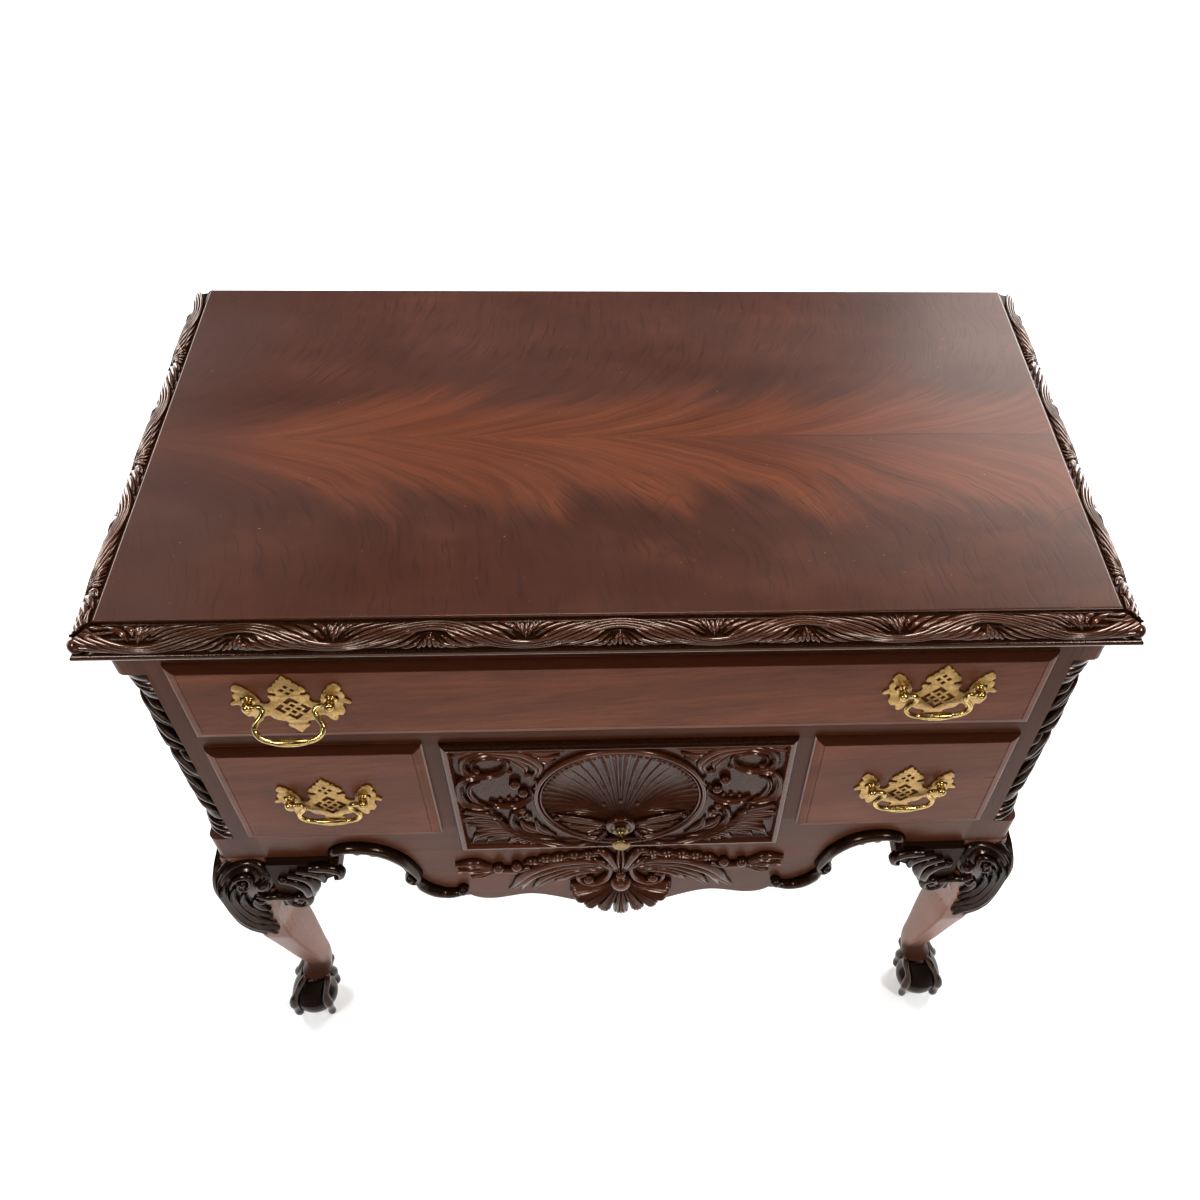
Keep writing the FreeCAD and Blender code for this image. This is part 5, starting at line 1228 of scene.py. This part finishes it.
bail("long_drawer_bail_left_wire", "long_drawer_bail_left", "long_bail_left", -PULL_X, LONG_PULL_Z, BAIL_RAISED)
bail("long_drawer_bail_right_wire", "long_drawer_bail_right", "long_bail_right", PULL_X, LONG_PULL_Z)
bail("left_drawer_bail_wire", "left_drawer_bail", "left_bail", -PULL_X, SIDE_PULL_Z)
bail("right_drawer_bail_wire", "right_drawer_bail", "right_bail", PULL_X, SIDE_PULL_Z)


# Quarter columns.

# Axis in from the case corner, radius of the shaft, and how far round it the leaves reach from its outermost line.
COLUMN_AXIS, COLUMN_SHAFT, LEAF_HALF = 26.0, 20.5, 16.6
# Lower end of a column: height and radius.
COLUMN_TURNING = [
    (461, 26.0), (464, 27.2), (468, 27.2), (471, 25.6), (472, 21.6), (473.4, 21.6), (474.4, 25.2), (477.5, 26.6),
    (480.6, 25.2), (481.6, 21.6), (483, 21.6), (484, 24.6), (486.6, 25.6), (489.4, 24.6), (490.6, 21.4), (494, 22.6),
    (499, 23.0), (504, 20.5),
]
# Leaves wound down the column, left of its outermost line to right: points, widths, heights, section.
COLUMN_LEAVES = [
    ([(-16, 700), (-6, 690), (6, 672), (16, 655)], [6, 14, 14, 6], [3, 6.5, 6.5, 3], LEAF),
    ([(-16, 676), (-9, 664), (4, 646), (16, 628)], [5, 10, 11, 5], [3, 6, 6, 3], ROUND),
    ([(-16, 655), (-10, 642), (2, 628), (13, 618)], [6, 13, 13, 4], [4, 7.5, 7.5, 3], LEAF),
    ([(2, 697), (10, 688), (15, 680)], [4, 9, 3], [3, 5, 3], ROUND),
    ([(-15, 640), (-12, 628), (-14, 616)], [5, 9, 3], [5, 8, 5], ROUND),
    ([(-15, 622), (-11, 610), (-14, 600)], [5, 9, 3], [5, 8, 5], ROUND),
    ([(-10, 618), (0, 604), (8, 588), (16, 570)], [6, 16, 17, 6], [4, 7, 7, 3], LEAF),
    ([(8, 616), (13, 606), (15, 597)], [4, 9, 3], [3, 5, 3], ROUND),
    ([(-16, 598), (-10, 584), (0, 566), (12, 548), (16, 540)], [5, 11, 12, 8, 4], [3, 6.5, 6.5, 5, 3], LEAF),
    ([(-16, 572), (-8, 556), (4, 538), (16, 522)], [5, 11, 11, 5], [3, 6, 6, 3], ROUND),
    ([(-16, 546), (-9, 532), (2, 518), (13, 508)], [5, 12, 11, 4], [3, 6, 6, 3], LEAF),
    ([(-16, 524), (-12, 514), (-4, 505)], [5, 9, 4], [3, 5, 3], ROUND),
]


def column_face(p):
    """u round the column from its outermost line, v up, h out of the shaft; gives (a, b, z)."""
    turn = math.radians(225) + p[..., 0] / COLUMN_SHAFT
    r = COLUMN_SHAFT + p[..., 2]
    return np.stack([COLUMN_AXIS + r * np.cos(turn), COLUMN_AXIS + r * np.sin(turn), p[..., 1]], -1)


def quarter_column(word, hand):
    """Quarter column: turned rings at both ends of a plain quarter shaft, wound with long leaves that slant across
    it one below the other, with smaller tips that stand out between them."""
    place = corner_place(hand, False)
    low = np.array(COLUMN_TURNING)
    high = low[::-1] * np.array([-1, 1]) + np.array([COLUMN_LOW + COLUMN_HIGH, 0])
    profile = np.vstack([low, high])
    theta = np.radians(np.linspace(180, 270, 18))[None]
    z, r = profile[:, :1], profile[:, 1:]
    # The fourth value is painted shade, deeper where the turned rings are cut in.
    arc = np.stack([COLUMN_AXIS + r * np.cos(theta), COLUMN_AXIS + r * np.sin(theta), z + 0 * theta,
                    np.clip((23.5 - r) / 2, 0, 0.9) + 0 * theta], 2)
    axis = np.stack([0 * z + COLUMN_AXIS, 0 * z + COLUMN_AXIS, z, 0 * z], 2)
    piece = Piece("quarter_column_carving_" + word)
    piece.add(np.concatenate([arc, axis], 1), place)
    wrapped = lambda p: place(column_face(np.clip(p, (-LEAF_HALF, 0, -9), (LEAF_HALF, 999, 9))))
    for points, wide, high, section in COLUMN_LEAVES:
        piece.add(stroke(points, wide, high, section, 24), wrapped)
    piece.finish("case", "mahogany_carved", dark_wood, ["quarter_column_" + word], 60)


for word, hand in HANDS:
    quarter_column(word, hand)


# Camera, floor and light.

camera_data = bpy.data.cameras.new("camera")
camera_data.sensor_width, camera_data.lens = 36, 33.80
camera_data.shift_x, camera_data.shift_y = -0.0578, 0.0602
camera = bpy.data.objects.new("camera", camera_data)
bpy.context.collection.objects.link(camera)
RIGHT = (0.99839069, -0.04629222, 0.03275766)
UP = (0.01595884, 0.78363495, 0.62101657)
AHEAD = (0.05441829, 0.61949438, -0.78311261)
EYE = (-0.01070, -0.82111, 1.50296)
camera.matrix_world = Matrix([(RIGHT[i], UP[i], -AHEAD[i], EYE[i]) for i in range(3)] + [(0, 0, 0, 1)])
bpy.context.scene.camera = camera


def floor_finish():
    """Pale matt floor with the faintest unevenness; it falls off to a plain grey in front of the piece. Where pale,
    it glows faintly though it is no lamp, a painted light that keeps it white.
    """
    f = Finish("pale_floor", Roughness=0.8, Specular_IOR_Level=0.1, Emission_Color=(1, 1, 1, 1))
    lit = f.spread(f.parts(f.object)[1], -0.98, -0.62)
    pale = f.ramp(f.noise(f.mapped((3, 3, 3)), 1.0, 2), (0.3, (0.86, 0.86, 0.86)), (0.7, (0.88, 0.88, 0.88)))
    f.colour(f.blend(lit, (0.34, 0.34, 0.34), pale))
    # Painted light: the pale part of the floor glows.
    f.set(f.shader.inputs["Emission Strength"], f.times(lit, 0.17))
    return f.material


floor_mesh = bpy.data.meshes.new("floor")
floor_mesh.from_pydata([(-9, -9, 0), (9, -9, 0), (9, 9, 0), (-9, 9, 0)], [], [(0, 1, 2, 3)])
floor_mesh.materials.append(floor_finish())
floor = bpy.data.objects.new("floor", floor_mesh)
bpy.context.collection.objects.link(floor)


def soft_light(name, place, target, size, power):
    """Rectangular soft light at a place, turned to its target."""
    data = bpy.data.lights.new(name, "AREA")
    data.shape = "RECTANGLE"
    data.size, data.size_y = size
    data.energy = power
    light = bpy.data.objects.new(name, data)
    bpy.context.collection.objects.link(light)
    away = np.asarray(place, float) - np.asarray(target, float)
    away /= np.linalg.norm(away)
    across = np.cross((0, 0, 1), away)
    across /= np.linalg.norm(across)
    rise = np.cross(away, across)
    light.matrix_world = Matrix([(across[i], rise[i], away[i], place[i]) for i in range(3)] + [(0, 0, 0, 1)])


MIDDLE = (0, 0, 0.55)
# Name, place, target, size and power of each light.
LIGHTS = [
    ("overhead", (0, 0.25, 4.0), (0, 0.24, 0), (1.2, 1.2), 170),
    ("reflector", (0, -2.6, 0.5), MIDDLE, (2.4, 0.9), 16),
    ("left_wash", (-3.2, 2.6, 2.2), (-3.2, 2.5, 0), (2.0, 2.0), 120),
    ("right_wash", (3.2, 2.6, 2.2), (3.2, 2.5, 0), (2.0, 2.0), 120),
    ("front_left", (-1.5, -1.6, 2.5), MIDDLE, (0.5, 0.5), 34),
    ("front_right", (1.6, -1.5, 2.6), MIDDLE, (0.5, 0.5), 42),
    ("rear_right", (2.0, 2.6, 2.6), (0, 0, 0.8), (1.8, 1.4), 52),
    ("side_left", (-2.6, 2.1, 1.35), MIDDLE, (1.8, 1.5), 56),
    ("side_right", (2.6, 2.1, 1.35), MIDDLE, (1.8, 1.5), 76),
]
for light in LIGHTS:
    soft_light(*light)


def studio_world():
    """A bright backdrop low behind the piece and a dark room in front of it and overhead."""
    world = bpy.data.worlds.new("studio")
    world.use_nodes = True
    tree = world.node_tree
    parts = tree.nodes.new("ShaderNodeSeparateXYZ")
    tree.links.new(tree.nodes.new("ShaderNodeTexCoord").outputs["Generated"], parts.inputs[0])
    fades = []
    for axis, limits in (("Z", (0.02, 0.25, 7.0, 0.0)), ("Y", (-0.1, 0.35, 0.0, 1.0))):
        fade = tree.nodes.new("ShaderNodeMapRange")
        fade.interpolation_type = "SMOOTHSTEP"
        for socket, value in zip(list(fade.inputs)[1:5], limits):
            socket.default_value = value
        tree.links.new(parts.outputs[axis], fade.inputs[0])
        fades.append(fade.outputs[0])
    strength = tree.nodes.new("ShaderNodeMath")
    strength.operation = "MULTIPLY_ADD"
    tree.links.new(fades[0], strength.inputs[0])
    tree.links.new(fades[1], strength.inputs[1])
    strength.inputs[2].default_value = 0.04
    tree.links.new(strength.outputs[0], tree.nodes["Background"].inputs["Strength"])
    tree.nodes["Background"].inputs["Color"].default_value = (1, 1, 1, 1)
    return world


bpy.context.scene.world = studio_world()
bpy.context.scene.view_settings.view_transform = "Standard"
